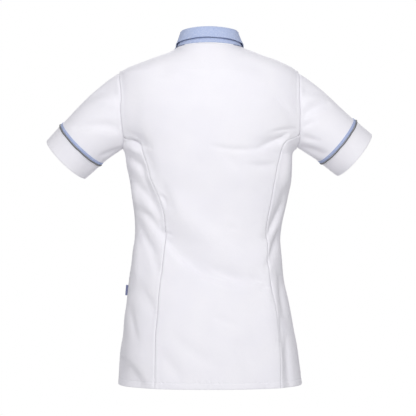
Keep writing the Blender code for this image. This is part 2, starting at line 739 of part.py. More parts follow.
def make_collar_stand(material):
    def point_at(u, v):
        angle = mix(STAND_START, STAND_END, u)
        radius, height = stand_place(angle, v)
        return Vector((radius * math.sin(angle), radius * math.cos(angle), height))

    mesh = bent_grid("collar_stand", even_steps(STAND_COLUMNS), even_steps(STAND_ROWS), point_at)
    return add_piece("collar_stand", mesh, material, STAND_WALL)


def make_collar_fall(material):
    roll_share = ROLL_ROWS / (ROLL_ROWS + DROP_ROWS)

    def rest_radius(angle, height):
        # What the fall lies on: the stand above the neck edge, the fronts below it.
        edge = neck_height(angle)
        if height <= edge:
            return body_radius(angle, height)
        rise = COLLAR_AT["rise"](abs(angle) / math.pi)
        return stand_place(angle, min(1.0, (height - edge) / rise))[0]

    def point_at(u, v):
        side_share = mix(1.0, -1.0, u)
        down = max(0.0, (v - roll_share) / (1.0 - roll_share))
        angle = side_share * math.pi * mix(FALL_END, FALL_POINT_END, down)
        top_radius, top_height = stand_place(angle, 1.0)
        middle = top_radius - STAND_WALL / 2
        if v <= roll_share:
            swing = mix(math.pi, 0.0, v / roll_share)
            radius = middle + ROLL_RADIUS * math.cos(swing)
            height = top_height + SEAM_GAP + ROLL_RADIUS * math.sin(swing)
        else:
            height = top_height + SEAM_GAP - COLLAR_AT["fall"](abs(side_share)) * down
            spring = mix(FALL_CLEAR, COLLAR_AT["spring"](abs(side_share)), down)
            clear = ROLL_RADIUS - STAND_WALL / 2 + spring
            radius = rest_radius(angle, height) + clear
        return Vector((radius * math.sin(angle), radius * math.cos(angle), height))

    rows = even_steps(ROLL_ROWS + DROP_ROWS)
    mesh = bent_grid("collar_fall", even_steps(FALL_COLUMNS), rows, point_at)
    return add_piece("collar_fall", mesh, material, FALL_WALL)


def make_button(number, material):
    height = BUTTON_TOP_HEIGHT - BUTTON_PITCH * (number - 1)
    angle = math.pi
    away = outward(angle, height)
    seat = body_point(angle, height, LAP_LIFT + BUTTON_SEAT + BUTTON_THICKNESS / 2)
    disc = bmesh.new()
    bmesh.ops.create_cone(
        disc,
        cap_ends=True,
        segments=BUTTON_SIDES,
        radius1=BUTTON_RADIUS,
        radius2=BUTTON_RADIUS,
        depth=BUTTON_THICKNESS,
    )
    mesh = bpy.data.meshes.new(f"button_{number}")
    disc.to_mesh(mesh)
    disc.free()
    button = add_piece(f"button_{number}", mesh, material)
    button.location = seat
    button.rotation_euler = away.to_track_quat("Z", "Y").to_euler()
    mesh.shade_smooth()
    edge = button.modifiers.new("edge", "BEVEL")
    edge.width = BUTTON_EDGE
    edge.segments = 1
    mesh.set_sharp_from_angle(angle=math.radians(40))
    return button


def make_side_tab(material):
    # A bare folded tape caught in the left side seam.
    seam_x = BODY["left"](TAB_HEIGHT)
    box = bmesh.new()
    size = Matrix.Diagonal((TAB_REACH, TAB_WALL, TAB_LENGTH, 1.0))
    bmesh.ops.create_cube(box, size=1.0, matrix=size)
    mesh = bpy.data.meshes.new("side_tab")
    box.to_mesh(mesh)
    box.free()
    tab = add_piece("side_tab", mesh, material)
    lean = math.atan((BODY["left"](TAB_HEIGHT - 0.02) - BODY["left"](TAB_HEIGHT + 0.02)) / 0.04)
    tab.location = (seam_x + 2 * SEAM_GAP + TAB_REACH / 2, 0.0, TAB_HEIGHT)
    tab.rotation_euler = (0.0, -lean, 0.0)
    return tab


def build():
    clear_scene()
    collection = bpy.data.collections.new(GARMENT)
    bpy.context.scene.collection.children.link(collection)
    holder = bpy.data.objects.new(GARMENT, None)
    collection.objects.link(holder)
    white = make_material("white_cloth", WHITE, 0.85)
    chambray = make_material("chambray", CHAMBRAY, 0.85)
    band_blue = make_material("band_blue", BAND_BLUE, 0.85)
    piping_grey = make_material("piping_grey", PIPING_GREY, 0.80)
    tab_blue = make_material("tab_blue", TAB_BLUE, 0.75)
    button_white = make_material("button_white", BUTTON_WHITE, 0.35)
    make_back_centre(white)
    for side in (1, -1):
        make_back_side(side, white)
        make_front(side, white)
        make_sleeve(side, white, band_blue, piping_grey)
    make_collar_stand(chambray)
    make_collar_fall(chambray)
    for number in range(1, BUTTON_COUNT + 1):
        make_button(number, button_white)
    make_side_tab(tab_blue)


build()
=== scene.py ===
import math

import bmesh
import bpy
import numpy as np
from mathutils import Matrix, Vector


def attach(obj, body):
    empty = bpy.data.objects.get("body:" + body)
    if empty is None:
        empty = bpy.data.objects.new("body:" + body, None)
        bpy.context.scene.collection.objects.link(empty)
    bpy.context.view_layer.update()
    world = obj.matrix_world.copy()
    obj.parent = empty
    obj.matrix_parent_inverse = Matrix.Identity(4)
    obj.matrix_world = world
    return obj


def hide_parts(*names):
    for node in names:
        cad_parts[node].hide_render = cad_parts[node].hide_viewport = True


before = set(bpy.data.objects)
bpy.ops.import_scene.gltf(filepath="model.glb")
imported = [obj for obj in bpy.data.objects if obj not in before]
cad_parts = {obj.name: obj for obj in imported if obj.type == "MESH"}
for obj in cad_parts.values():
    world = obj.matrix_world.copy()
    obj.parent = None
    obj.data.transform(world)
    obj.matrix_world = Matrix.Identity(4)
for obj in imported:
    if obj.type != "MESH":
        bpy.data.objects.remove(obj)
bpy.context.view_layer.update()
print("frame loaded:", len(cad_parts), "nodes")

# metres, front -Y, wearer's left +X, seen from behind (+Y)
bodyForm = {
    "hem": -0.7075,
    "neckRise": 0.004,
    "neckDrop": 0.070,
    "neckPower": 3,
    "shoulderPoint": -0.0546,
    "armholeHalfDepth": 0.052,
    "armholeBottom": {1: -0.212, -1: -0.210},
    "armholeSeamTurn": {1: 0.378, -1: 0.363},
    "seamGap": 0.0003,
    "armholeGap": 0.0007,
    "shoulderShare": 4 / 18,  # of the top edge, each side, that is shoulder seam
    "wall": 0.0012,
    "seamCorner": 0.97,  # from this share of its height up, a back seam turns into its armhole
    "bendPower": 0.8,
    # height, half widths left and right, depths behind and in front, squareness
    "sections": [
        (-0.7200, 0.1908, 0.1965, 0.126, 0.1290, 2.30),
        (-0.6820, 0.1880, 0.1930, 0.125, 0.1280, 2.30),
        (-0.6450, 0.1858, 0.1884, 0.123, 0.1270, 2.30),
        (-0.6070, 0.1798, 0.1818, 0.120, 0.1260, 2.30),
        (-0.5690, 0.1758, 0.1750, 0.115, 0.1240, 2.30),
        (-0.5310, 0.1705, 0.1674, 0.108, 0.1210, 2.30),
        (-0.4930, 0.1674, 0.1590, 0.100, 0.1180, 2.30),
        (-0.4560, 0.1618, 0.1550, 0.094, 0.1165, 2.30),
        (-0.4300, 0.1588, 0.1520, 0.090, 0.1155, 2.30),
        (-0.4050, 0.1550, 0.1504, 0.088, 0.1155, 2.30),
        (-0.3800, 0.1541, 0.1526, 0.089, 0.1170, 2.30),
        (-0.3550, 0.1552, 0.1575, 0.091, 0.1200, 2.30),
        (-0.3300, 0.1582, 0.1628, 0.094, 0.1245, 2.30),
        (-0.3040, 0.1613, 0.1685, 0.097, 0.1290, 2.30),
        (-0.2790, 0.1654, 0.1734, 0.101, 0.1340, 2.30),
        (-0.2540, 0.1705, 0.1755, 0.104, 0.1370, 2.30),
        (-0.2260, 0.1746, 0.1760, 0.107, 0.1380, 2.25),
        (-0.2120, 0.1785, 0.1840, 0.108, 0.1370, 2.20),
        (-0.1850, 0.1905, 0.2010, 0.109, 0.1310, 2.10),
        (-0.1330, 0.2040, 0.2140, 0.108, 0.1160, 2.10),
        (-0.1050, 0.2020, 0.2110, 0.104, 0.1070, 2.10),
        (-0.0800, 0.1970, 0.2030, 0.099, 0.0940, 2.10),
        (-0.0546, 0.1868, 0.1880, 0.092, 0.0790, 2.10),
        (-0.0440, 0.1710, 0.1770, 0.087, 0.0740, 2.10),
        (-0.0360, 0.1520, 0.1630, 0.083, 0.0720, 2.10),
        (-0.0270, 0.1285, 0.1420, 0.078, 0.0700, 2.10),
        (-0.0190, 0.1050, 0.1180, 0.074, 0.0680, 2.10),
        (-0.0105, 0.0825, 0.0950, 0.070, 0.0660, 2.10),
        (0.0000, 0.0655, 0.0700, 0.064, 0.0620, 2.10),
        (0.0100, 0.0570, 0.0595, 0.055, 0.0580, 2.10),
    ],
    # height, and where the two curved back seams are, left and right
    "backSeams": [
        (-0.720, 0.1103, -0.1466),
        (-0.704, 0.1101, -0.1464),
        (-0.612, 0.1091, -0.1444),
        (-0.567, 0.1067, -0.1390),
        (-0.491, 0.0995, -0.1267),
        (-0.450, 0.0945, -0.1218),
        (-0.404, 0.0900, -0.1210),
        (-0.363, 0.0918, -0.1230),
        (-0.332, 0.0990, -0.1285),
        (-0.273, 0.1222, -0.1388),
        (-0.231, 0.1357, -0.1473),
        (-0.222, 0.1385, -0.1492),
        (-0.213, 0.1430, -0.1520),
        (-0.205, 0.1500, -0.1560),
        (-0.197, 0.1630, -0.1645),
        (-0.190, 0.1790, -0.1765),
        (-0.183, 0.1900, -0.1895),
    ],
}
sideWord = {1: "left", -1: "right"}
rightAngle = math.pi / 2


def mix(start, end, share):
    return start + (end - start) * share


def ease(low, high, value):
    share = np.clip((value - low) / (high - low), 0.0, 1.0)
    return share * share * (3.0 - 2.0 * share)


def glide(start, leave, end, arrive, t):
    # from start to end, with the slope of each end given
    first = start * (1 + 2 * t) * (1 - t) ** 2 + leave * t * (1 - t) ** 2
    return first + end * t * t * (3 - 2 * t) + arrive * t * t * (t - 1)


def smoothCurve(keys, values):
    # runs through every row and never swings past one
    keys = np.array(keys, float)
    values = np.array(values, float)
    slopes = np.diff(values) / np.diff(keys)
    tangents = np.zeros(len(keys))
    tangents[0] = slopes[0]
    tangents[-1] = slopes[-1]
    product = slopes[:-1] * slopes[1:]
    total = np.where(product > 0.0, slopes[:-1] + slopes[1:], 1.0)
    tangents[1:-1] = np.where(product > 0.0, 2.0 * product / total, 0.0)

    def valueAt(key):
        key = np.clip(key, keys[0], keys[-1])
        i = np.clip(np.searchsorted(keys, key, side="right") - 1, 0, len(keys) - 2)
        step = keys[i + 1] - keys[i]
        t = (key - keys[i]) / step
        return glide(values[i], tangents[i] * step, values[i + 1], tangents[i + 1] * step, t)

    return valueAt


def columnCurves(rows):
    # a curve for each column after the first, which holds the keys
    keys, *columns = zip(*rows)
    return [smoothCurve(keys, column) for column in columns]


bodyLeft, bodyRight, bodyBack, bodyFront, bodyPower = columnCurves(bodyForm["sections"])
backSeamX = dict(zip((1, -1), columnCurves(bodyForm["backSeams"])))


# the angle runs round the body: 0 behind, a quarter turn at the wearer's left, a half turn in front
def bodyRadius(angle, height):
    across = np.sin(angle)
    behind = np.cos(angle)
    width = np.where(across > 0.0, bodyLeft(height), bodyRight(height))
    depth = np.where(behind > 0.0, bodyBack(height), bodyFront(height))
    power = bodyPower(height)
    return (np.abs(across / width) ** power + np.abs(behind / depth) ** power) ** (-1.0 / power)


def aroundPoint(angle, radius, height):
    return np.stack([radius * np.sin(angle), radius * np.cos(angle), height + 0.0 * radius], axis=-1)


def plainPoint(angle, height):
    return aroundPoint(angle, bodyRadius(angle, height), height)


def unit(vectors):
    return vectors / np.maximum(np.linalg.norm(vectors, axis=-1, keepdims=True), 1e-12)


def outward(angle, height):
    turn = plainPoint(angle - 0.01, height) - plainPoint(angle + 0.01, height)
    rise = plainPoint(angle, height + 0.002) - plainPoint(angle, height - 0.002)
    return unit(np.cross(turn, rise))


def angleAt(x, height, behind=True):
    width = np.where(x > 0.0, bodyLeft(height), bodyRight(height))
    depth = bodyBack(height) if behind else bodyFront(height)
    power = bodyPower(height)
    y = depth * np.maximum(0.0, 1.0 - np.minimum(1.0, np.abs(x) / width) ** power) ** (1.0 / power)
    return np.arctan2(x + 0.0 * y, y if behind else -y)


def neckHeight(angle):
    back = bodyForm["neckRise"] * np.cos(angle) ** 2
    front = -bodyForm["neckDrop"] * np.abs(np.sin(np.abs(angle) - rightAngle)) ** bodyForm["neckPower"]
    return np.where(np.abs(angle) < rightAngle, back, front)


def armholePlace(side, turn):
    # turn is 0 at the shoulder, 0.25 behind, 0.5 below
    bottom = bodyForm["armholeBottom"][side]
    height = mix(bottom, bodyForm["shoulderPoint"], 0.5 + 0.5 * np.cos(2 * np.pi * turn))
    y = bodyForm["armholeHalfDepth"] * np.sin(2 * np.pi * turn)
    width = bodyLeft(height) if side > 0 else bodyRight(height)
    depth = np.where(y > 0.0, bodyBack(height), bodyFront(height))
    power = bodyPower(height)
    x = side * width * (1.0 - (np.abs(y) / depth) ** power) ** (1.0 / power)
    return np.arctan2(x, y), height


def patch(startEdge, endEdge, topEdge, topShare):
    # between two side edges, with rows that bend up into the top edge
    def placeAt(u, v):
        startAngle, startHeight = startEdge(v)
        endAngle, endHeight = endEdge(v)
        angle = mix(startAngle, endAngle, u)
        height = mix(startHeight, endHeight, u)
        firstAngle, firstHeight = topEdge(np.zeros(1))
        lastAngle, lastHeight = topEdge(np.ones(1))
        topAngle, topHeight = topEdge(u)
        pull = ease(topShare, 1.0, v) ** bodyForm["bendPower"]
        angle = angle + (topAngle - mix(firstAngle, lastAngle, u)) * pull
        return angle, height + (topHeight - mix(firstHeight, lastHeight, u)) * pull

    return placeAt


def backSeamEdge(side, share, shift):
    cornerAngle, cornerHeight = armholePlace(side, bodyForm["armholeSeamTurn"][side])
    height = mix(bodyForm["hem"], cornerHeight, share)
    angle = angleAt(backSeamX[side](height), height)
    angle = mix(angle, cornerAngle, ease(bodyForm["seamCorner"], 1.0, share))
    return angle + shift / bodyRadius(angle, height), height


def shoulderSeam(side, share):
    height = mix(bodyForm["shoulderPoint"], 0.0, share)
    return side * rightAngle + 0.0 * height, height


print("body form ready")

# folds of the body, in millimetres: three points (x, height) of a bent line, width on its left and right,
# depth. Below zero is a trough, above is a ridge. Left and right are seen along the line, from outside.
bodyFolds = {
    "back": [
        # the deep slanting fold at the waist: the cloth above bellies out and tucks in under itself
        ((96, -385), (40, -492), (-88, -493), 27, 7, -9.2),
        ((78, -322), (16, -388), (-76, -456), 24, 32, 7.8),
        ((-10, -462), (-46, -480), (-88, -488), 14, 6, -3.4),
        ((-88, -478), (-102, -492), (-116, -500), 6, 6, -2),
        # left side panel, from the armpit down
        ((168, -229), (154, -242), (136, -261), 9, 8, -6),
        ((172, -199), (158, -200), (146, -212), 3, 3, -2.6),
        ((172, -190), (158, -192), (150, -202), 3.5, 3.5, 2.2),
        ((170, -212), (155, -217), (138, -230), 3.5, 3.5, 2.4),
        ((177, -199), (159, -200), (138, -210), 19, 9, -11.8),
        ((142, -200), (130, -235), (112, -275), 14, 16, -4.5),
        ((146, -236), (137, -274), (119, -310), 8, 6, -3.2),
        ((152, -284), (112, -326), (97, -364), 16, 9, -7.4),
        ((102, -312), (90, -316), (87, -336), 5, 5, -3),
        ((96, -290), (82, -320), (72, -350), 10, 12, -3.2),
        ((148, -342), (118, -352), (88, -410), 9, 8, -5.8),
        ((92, -388), (84, -392), (76, -394), 4, 4, -2.4),
        ((146, -362), (138, -395), (112, -430), 9, 6, -2.8),
        ((128, -408), (112, -440), (100, -480), 10, 8, -3),
        ((145, -494), (122, -530), (110, -560), 10, 18, -3.8),
        ((161, -545), (160, -578), (148, -606), 6, 7, -3.6),
        ((178, -575), (182, -630), (180, -690), 9, 9, -3),
        ((174, -660), (156, -682), (132, -712), 12, 34, -8.5),
        ((158, -285), (150, -310), (151, -336), 8, 8, 4.5),
        ((150, -400), (148, -440), (150, -490), 10, 10, 4),
        # right side panel, which turns away at its seam
        ((-120, -395), (-132, -540), (-150, -760), 13, 26, 6.6),
        ((-163, -297), (-149, -350), (-118, -400), 7, 10, -5.5),
        ((-157, -328), (-143, -366), (-118, -404), 4, 5, -2.8),
        ((-150, -386), (-136, -416), (-118, -458), 9, 6, -5.8),
        ((-127, -468), (-128, -500), (-131, -535), 6, 4, -3),
        ((-148, -480), (-151, -520), (-156, -560), 6, 6, -4.2),
        ((-144, -566), (-147, -595), (-147, -625), 5, 4, -2.8),
        ((-160, -605), (-164, -658), (-168, -716), 6, 10, -5.2),
        # shoulder blades and the right armpit
        ((-100, -206), (-135, -202), (-170, -184), 12, 15, -5),
        ((-10, -213), (-74, -224), (-114, -214), 6, 6, -2.8),
        ((-106, -214), (-134, -202), (-165, -190), 6, 5, -3.4),
        ((-130, -182), (-152, -176), (-180, -174), 4, 4, -2.6),
        ((-120, -106), (-158, -118), (-178, -158), 6, 9, -3),
        ((-150, -205), (-162, -194), (-174, -184), 3.5, 3.5, 2.4),
        ((-160, -198), (-166, -242), (-158, -290), 10, 10, 6.2),
        ((-146, -200), (-155, -190), (-164, -184), 3, 3, -2.2),
        ((-86, -248), (-110, -254), (-136, -248), 7, 12, -3.4),
        ((-30, -224), (-50, -240), (-60, -262), 12, 12, -2),
        # soft hollows inside the shoulders
        ((118, -58), (96, -47), (66, -58), 16, 16, -5),
        ((-62, -44), (-95, -40), (-125, -60), 15, 15, -3.2),
        ((150, -120), (158, -150), (150, -185), 16, 16, -2),
        # faint marks low down
        ((-10, -566), (-34, -560), (-60, -584), 9, 9, -2.2),
        ((72, -590), (40, -640), (-10, -650), 14, 14, -2.2),
        ((-50, -600), (-80, -640), (-90, -690), 14, 14, -2),
        ((90, -640), (70, -668), (52, -700), 14, 14, -2.6),
        ((-40, -382), (-52, -378), (-64, -384), 6, 6, -1.2),
        ((-104, -500), (-116, -503), (-122, -500), 6, 6, -2.4),
    ],
    # the hidden side, of the same kind
    "front": [
        ((150, -250), (120, -275), (85, -262), 12, 12, -5),
        ((158, -232), (140, -240), (124, -232), 5, 5, -2.6),
        ((-152, -246), (-125, -268), (-88, -270), 12, 12, -4.5),
        ((-160, -226), (-142, -236), (-126, -232), 5, 5, -2.6),
        ((140, -375), (100, -420), (45, -430), 8, 13, -5.5),
        ((-138, -390), (-105, -408), (-50, -446), 13, 8, -5),
        ((125, -460), (85, -490), (40, -480), 12, 12, -3.5),
        ((-130, -470), (-90, -500), (-45, -520), 12, 12, -3.5),
        ((150, -330), (130, -350), (110, -380), 6, 6, -3),
        ((-152, -320), (-130, -345), (-112, -350), 6, 6, -2.6),
        ((150, -120), (125, -150), (105, -200), 12, 12, -3.5),
        ((-150, -115), (-128, -150), (-110, -190), 12, 12, -3),
        ((100, -560), (112, -620), (105, -690), 14, 14, -3),
        ((-85, -570), (-100, -630), (-90, -690), 14, 14, -2.6),
    ],
}
foldFade = 0.035  # the folds die out this near the side seams
foldTaper = 0.12  # how far before its end a fold would start from nothing


def bell(gap, width):
    return np.exp(-((gap / width) ** 2))


def pressed(gap, width):
    # 1 at an edge, 0 from this width on
    return np.clip(1.0 - gap / width, 0.0, 1.0) ** 2


def signedGaps(x, z, start, middle, end, steps=10):
    # distance from each point to a bent line, on which side of it, and how far along
    best = np.full(x.shape, np.inf)
    side = np.ones(x.shape)
    along = np.zeros(x.shape)
    t = np.linspace(0.0, 1.0, steps + 1)
    lineX = start[0] * (1 - t) ** 2 + middle[0] * 2 * t * (1 - t) + end[0] * t * t
    lineZ = start[1] * (1 - t) ** 2 + middle[1] * 2 * t * (1 - t) + end[1] * t * t
    for i in range(steps):
        runX = lineX[i + 1] - lineX[i]
        runZ = lineZ[i + 1] - lineZ[i]
        dX = x - lineX[i]
        dZ = z - lineZ[i]
        share = np.clip((dX * runX + dZ * runZ) / (runX**2 + runZ**2), 0.0, 1.0)
        gap = np.hypot(dX - runX * share, dZ - runZ * share)
        nearer = gap < best
        best = np.where(nearer, gap, best)
        side = np.where(nearer, np.sign(runX * dZ - runZ * dX), side)
        along = np.where(nearer, (i + share) / steps, along)
    return best, side, along


def foldField(x, z, rows, mirrored=False):
    total = np.zeros(x.shape)
    for start, middle, end, leftWidth, rightWidth, depth in rows:
        gap, side, along = signedGaps(x * 1000, z * 1000, start, middle, end)
        if mirrored:
            side = -side
        width = np.where(side > 0.0, leftWidth, rightWidth)
        total += depth * bell(gap, width) * np.sin(np.pi * mix(foldTaper, 1.0 - foldTaper, along))
    return total / 1000


def bodyFold(point):
    x, y, z = np.moveaxis(point, -1, 0)
    # from behind, x runs to the left of the picture, so the sides are swapped there
    back = foldField(x, z, bodyFolds["back"], mirrored=True)
    front = foldField(x, z, bodyFolds["front"])
    return np.where(y > 0.0, back, front) * ease(0.0, foldFade, np.abs(y))


def bodyPoint(angle, height, lift=0.0):
    point = plainPoint(angle, height)
    amount = bodyFold(point) + lift
    return point + outward(angle, height) * amount[..., None]


def gridLengths(points):
    # for each point of a grid, the way along its row and up its column, and each whole length
    acrossStep = np.linalg.norm(np.diff(points, axis=1), axis=-1)
    upStep = np.linalg.norm(np.diff(points, axis=0), axis=-1)
    across = np.concatenate([np.zeros((points.shape[0], 1)), np.cumsum(acrossStep, axis=1)], axis=1)
    up = np.concatenate([np.zeros((1, points.shape[1])), np.cumsum(upStep, axis=0)], axis=0)
    return across, up


def gridNormals(points, wraps=False):
    if wraps:
        wide = np.concatenate([points[:, -2:-1], points, points[:, 1:2]], axis=1)
        acrossRun = wide[:, 2:] - wide[:, :-2]
    else:
        acrossRun = np.gradient(points, axis=1)
    upRun = np.gradient(points, axis=0)
    return unit(np.cross(acrossRun, upRun))


def raised(points, lift, wraps=False):
    return points + gridNormals(points, wraps) * lift[..., None]


def spacedShares(length, step, edges=(0.0007, 0.0016, 0.0030)):
    # shares from 0 to 1, close together at both ends where the cloth turns in
    count = max(2, round((length - 2 * edges[-1]) / step))
    start = [0.0] + [edge / length for edge in edges]
    middle = list(np.linspace(edges[-1] / length, 1.0 - edges[-1] / length, count + 1)[1:-1])
    return np.array(start + middle + [1.0 - share for share in reversed(start)])


def clothMesh(name, points, wraps=False):
    # a grid of cloth with its own flat coordinates, in metres, for the weave
    rows, columns = points.shape[:2]
    across, up = gridLengths(points)
    across = across - across[:, -1:] / 2.0
    if wraps:
        columns -= 1
    last = columns if wraps else columns - 1
    faces = []
    corners = []
    for j in range(rows - 1):
        for i in range(last):
            k = (i + 1) % columns if wraps else i + 1
            faces.append((j * columns + i, j * columns + k, (j + 1) * columns + k, (j + 1) * columns + i))
            corners += [(j, i), (j, i + 1), (j + 1, i + 1), (j + 1, i)]
    mesh = bpy.data.meshes.new(name)
    mesh.from_pydata(points[:, :columns].reshape(-1, 3).tolist(), [], faces)
    corners = np.array(corners)
    flat = mesh.uv_layers.new(name="flat")
    u = across[corners[:, 0], corners[:, 1]]
    v = up[corners[:, 0], corners[:, 1]]
    flat.data.foreach_set("uv", np.stack([u, v], axis=1).astype(np.float32).ravel())
    mesh.shade_smooth()
    mesh.update()
    return mesh


def addObject(name, data):
    thing = bpy.data.objects.new(name, data)
    bpy.context.scene.collection.objects.link(thing)
    return thing


def meshOf(thing):
    # the finished mesh of a helper object, which then goes
    mesh = bpy.data.meshes.new_from_object(thing.evaluated_get(bpy.context.evaluated_depsgraph_get()))
    bpy.data.objects.remove(thing, do_unlink=True)
    mesh.shade_smooth()
    mesh.materials.clear()
    return mesh


def addPiece(name, mesh, material, wall=None, node=None, place=None):
    piece = addObject(name, mesh)
    if place is not None:
        piece.matrix_world = place
    if not mesh.materials:
        mesh.materials.append(material)
    if wall:
        shell = piece.modifiers.new("wall", "SOLIDIFY")
        shell.thickness = wall
        shell.offset = -1.0
        shell.use_even_offset = True
    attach(piece, "root")
    if node:
        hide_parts(node)
    return piece


def addCloth(name, points, material, wall, node, wraps=False):
    # the cloth of one cut piece, with its area printed to set its flat size by
    piece = addPiece(name, clothMesh(name, points, wraps), material, wall, node)
    diagonals = np.cross(points[1:, 1:] - points[:-1, :-1], points[1:, :-1] - points[:-1, 1:])
    area = float(np.linalg.norm(diagonals, axis=-1).sum() / 2.0)
    print(name, len(piece.data.polygons), "faces,", round(area, 4), "m2")
    return piece


stitch = {
    "pitch": 0.0029,
    "length": 0.0024,
    "radius": 0.00021,
    "sides": 5,
    "dip": 0.00022,
    "proud": 0.00012,
    "look": 0.0004,  # how far to each side of a point its direction is taken
    # share of the length, share of the radius there
    "rings": [(0.0, 0.4), (0.2, 0.95), (0.5, 1.0), (0.8, 0.95), (1.0, 0.4)],
}


def gridLine(points, normals, gap, value, byColumn):
    # the line on a grid of cloth along which gap has this value, with the cloth's normals there
    if not byColumn:
        points, normals, gap = points.transpose(1, 0, 2), normals.transpose(1, 0, 2), gap.T
    line = []
    for i in range(points.shape[1]):
        order = slice(None) if gap[-1, i] > gap[0, i] else slice(None, None, -1)
        column = np.concatenate([points[order, i], normals[order, i]], axis=1)
        line.append([np.interp(value, gap[order, i], column[:, k]) for k in range(6)])
    line = np.array(line)
    return line[:, :3], unit(line[:, 3:])


def stitchRow(points, normals, gap, value, byColumn):
    # short threads end to end along such a line, each dipping into the cloth at both ends
    line, normals = gridLine(points, normals, gap, value, byColumn)
    run = np.concatenate([[0.0], np.cumsum(np.linalg.norm(np.diff(line, axis=0), axis=1))])
    count = int((run[-1] - stitch["length"]) / stitch["pitch"])
    starts = np.arange(count) * stitch["pitch"] + (run[-1] - count * stitch["pitch"]) / 2.0

    def along(places, columns):
        return np.stack([np.interp(places, run, columns[:, k]) for k in range(3)], axis=1)

    rings = []
    for share, size in stitch["rings"]:
        at = starts + share * stitch["length"]
        place = along(at, line)
        away = unit(along(at, normals))
        across = unit(np.cross(away, along(at + stitch["look"], line) - along(at - stitch["look"], line)))
        rise = mix(-stitch["dip"], stitch["proud"], math.sin(math.pi * share))
        turns = 2 * np.pi * np.arange(stitch["sides"]) / stitch["sides"]
        ring = place[:, None] + away[:, None] * rise
        ring = ring + stitch["radius"] * size * (
            across[:, None] * np.cos(turns)[None, :, None] + away[:, None] * np.sin(turns)[None, :, None])
        rings.append(ring)
    return np.stack(rings, axis=1)  # stitch, ring, side, xyz


def addStitching(name, points, rows, material):
    # each row: the part of the grid, the gap that it follows, how far in, and the way it is looked for
    normals = gridNormals(points)
    stitches = []
    for part, gap, inset, byColumn in rows:
        stitches.append(stitchRow(points[part], normals[part], gap[part], inset, byColumn))
    stitches = np.concatenate(stitches)
    sides = stitch["sides"]
    ringCount = stitches.shape[1]
    pattern = []
    for ring in range(ringCount - 1):
        for k in range(sides):
            n = (k + 1) % sides
            low, high = ring * sides, (ring + 1) * sides
            pattern.append((low + k, low + n, high + n, high + k))
    ends = [tuple(reversed(range(sides))), tuple((ringCount - 1) * sides + k for k in range(sides))]
    faces = []
    for number in range(len(stitches)):
        first = number * ringCount * sides
        faces += [tuple(first + corner for corner in face) for face in pattern + ends]
    mesh = bpy.data.meshes.new(name)
    mesh.from_pydata(stitches.reshape(-1, 3).tolist(), [], faces)
    mesh.shade_smooth()
    piece = addPiece(name, mesh, material)
    print(name, len(stitches), "stitches")
    return piece


whole = slice(None)
print("cloth tools ready")

seamLook = {
    "turnIn": 0.0005,  # how deep the cloth turns in at a seam
    "turnWidth": 0.0023,
    "ridge": 0.0006,  # the turnings beneath lift the cloth beside it
    "ridgeAt": 0.0042,
    "ridgeWidth": 0.0024,
    "pucker": 0.00032,
    "puckerReach": 0.0075,
    # the puckers' waves: length, share of the height, shift with the seed; and where they are stronger
    "waves": [(0.0113, 1.0, 1.0), (0.0077, 0.6, 2.3)],
    "stronger": (0.083, 1.0),
}
hemLook = {
    "depth": 0.0125,
    "lift": 0.0005,
    "liftRamp": 0.0006,
    "groove": 0.0006,
    "grooveWidth": 0.0009,
    "turnIn": 0.0006,
    "turnWidth": 0.0018,
    "pucker": 0.00045,
    "puckerReach": 0.0065,
    "slant": 0.45,
    "waves": [(0.0127, 1.0, 1.0), (0.0083, 0.7, 1.7)],
    "stronger": (0.11, 3.0),
    "rows": (-0.0016, -0.0008, 0.0, 0.0008, 0.0016),  # of the mesh, beside the hem's stitching
}
armholeLook = {
    "ridge": 0.0017,
    "ridgeAt": 0.0032,
    "ridgeWidth": 0.0026,
    "stitchAt": 0.0062,  # the row of stitching, in from the seam
    "starts": (0.495, 0.505),  # in the shares of a panel's height
}
panel = {"toArmhole": 0.495, "besideArmhole": 0.210, "bendFrom": 0.52}
edgeLook = {"pressed": 0.0004, "pressedWidth": 0.0018, "groove": 0.00025, "grooveWidth": 0.0011}
# the slight unevenness of cloth that nobody fills: height, and how fast two crossed waves turn
clothWaves = [
    (0.0005, (52, 21, 0.7), (-11, 37, 1.9)),
    (0.0003, (97, -43, 0.3), (29, 71, 2.2)),
]


def puckers(look, run, slanted, seed):
    # small waves along a seam, stronger in some places than in others
    length, shift = look["stronger"]
    uneven = 0.6 + 0.4 * np.sin(2 * np.pi * run / length + shift * seed)
    wave = 0.0
    for length, share, shift in look["waves"]:
        wave = wave + share * np.sin(2 * np.pi * slanted / length + shift * seed)
    return look["pucker"] * wave * uneven


def seamLift(gap, run, seed, pucker=1.0, turnIn=1.0):
    # turned in at the seam and slightly puckered beside it
    look = seamLook
    ridge = look["ridge"] * bell(gap - look["ridgeAt"], look["ridgeWidth"])
    roll = ridge - look["turnIn"] * pressed(gap, look["turnWidth"])
    return roll * turnIn + pucker * puckers(look, run, run, seed) * bell(gap, look["puckerReach"])


def hemLift(gap, run, seed):
    # a turned hem: thicker below its stitching, drawn in along it, with small slanting puckers
    look = hemLook
    fromStitch = gap - look["depth"]
    below = look["lift"] * ease(look["liftRamp"], -look["liftRamp"], fromStitch)
    groove = -look["groove"] * bell(fromStitch, look["grooveWidth"])
    edge = -look["turnIn"] * pressed(gap, look["turnWidth"])
    wave = puckers(look, run, run + look["slant"] * gap, seed)
    return below + groove + edge + wave * bell(fromStitch, look["puckerReach"])


def softWaves(points):
    x, _, z = np.moveaxis(points, -1, 0)
    total = 0.0
    for height, one, two in clothWaves:
        for alongX, alongZ, start in (one, two):
            height = height * np.sin(alongX * x + alongZ * z + start)
        total = total + height
    return total


def rowShares(length, step, low=True, high=True, extra=()):
    shares = spacedShares(length, step)
    if not low:
        shares = np.delete(shares, [1, 2])
    if not high:
        shares = np.delete(shares, [len(shares) - 3, len(shares) - 2])
    shares = np.concatenate([shares, np.array(extra, float) / length])
    return np.unique(np.round(shares, 7))


def hemRows():
    return [hemLook["depth"] + shift for shift in hemLook["rows"]]


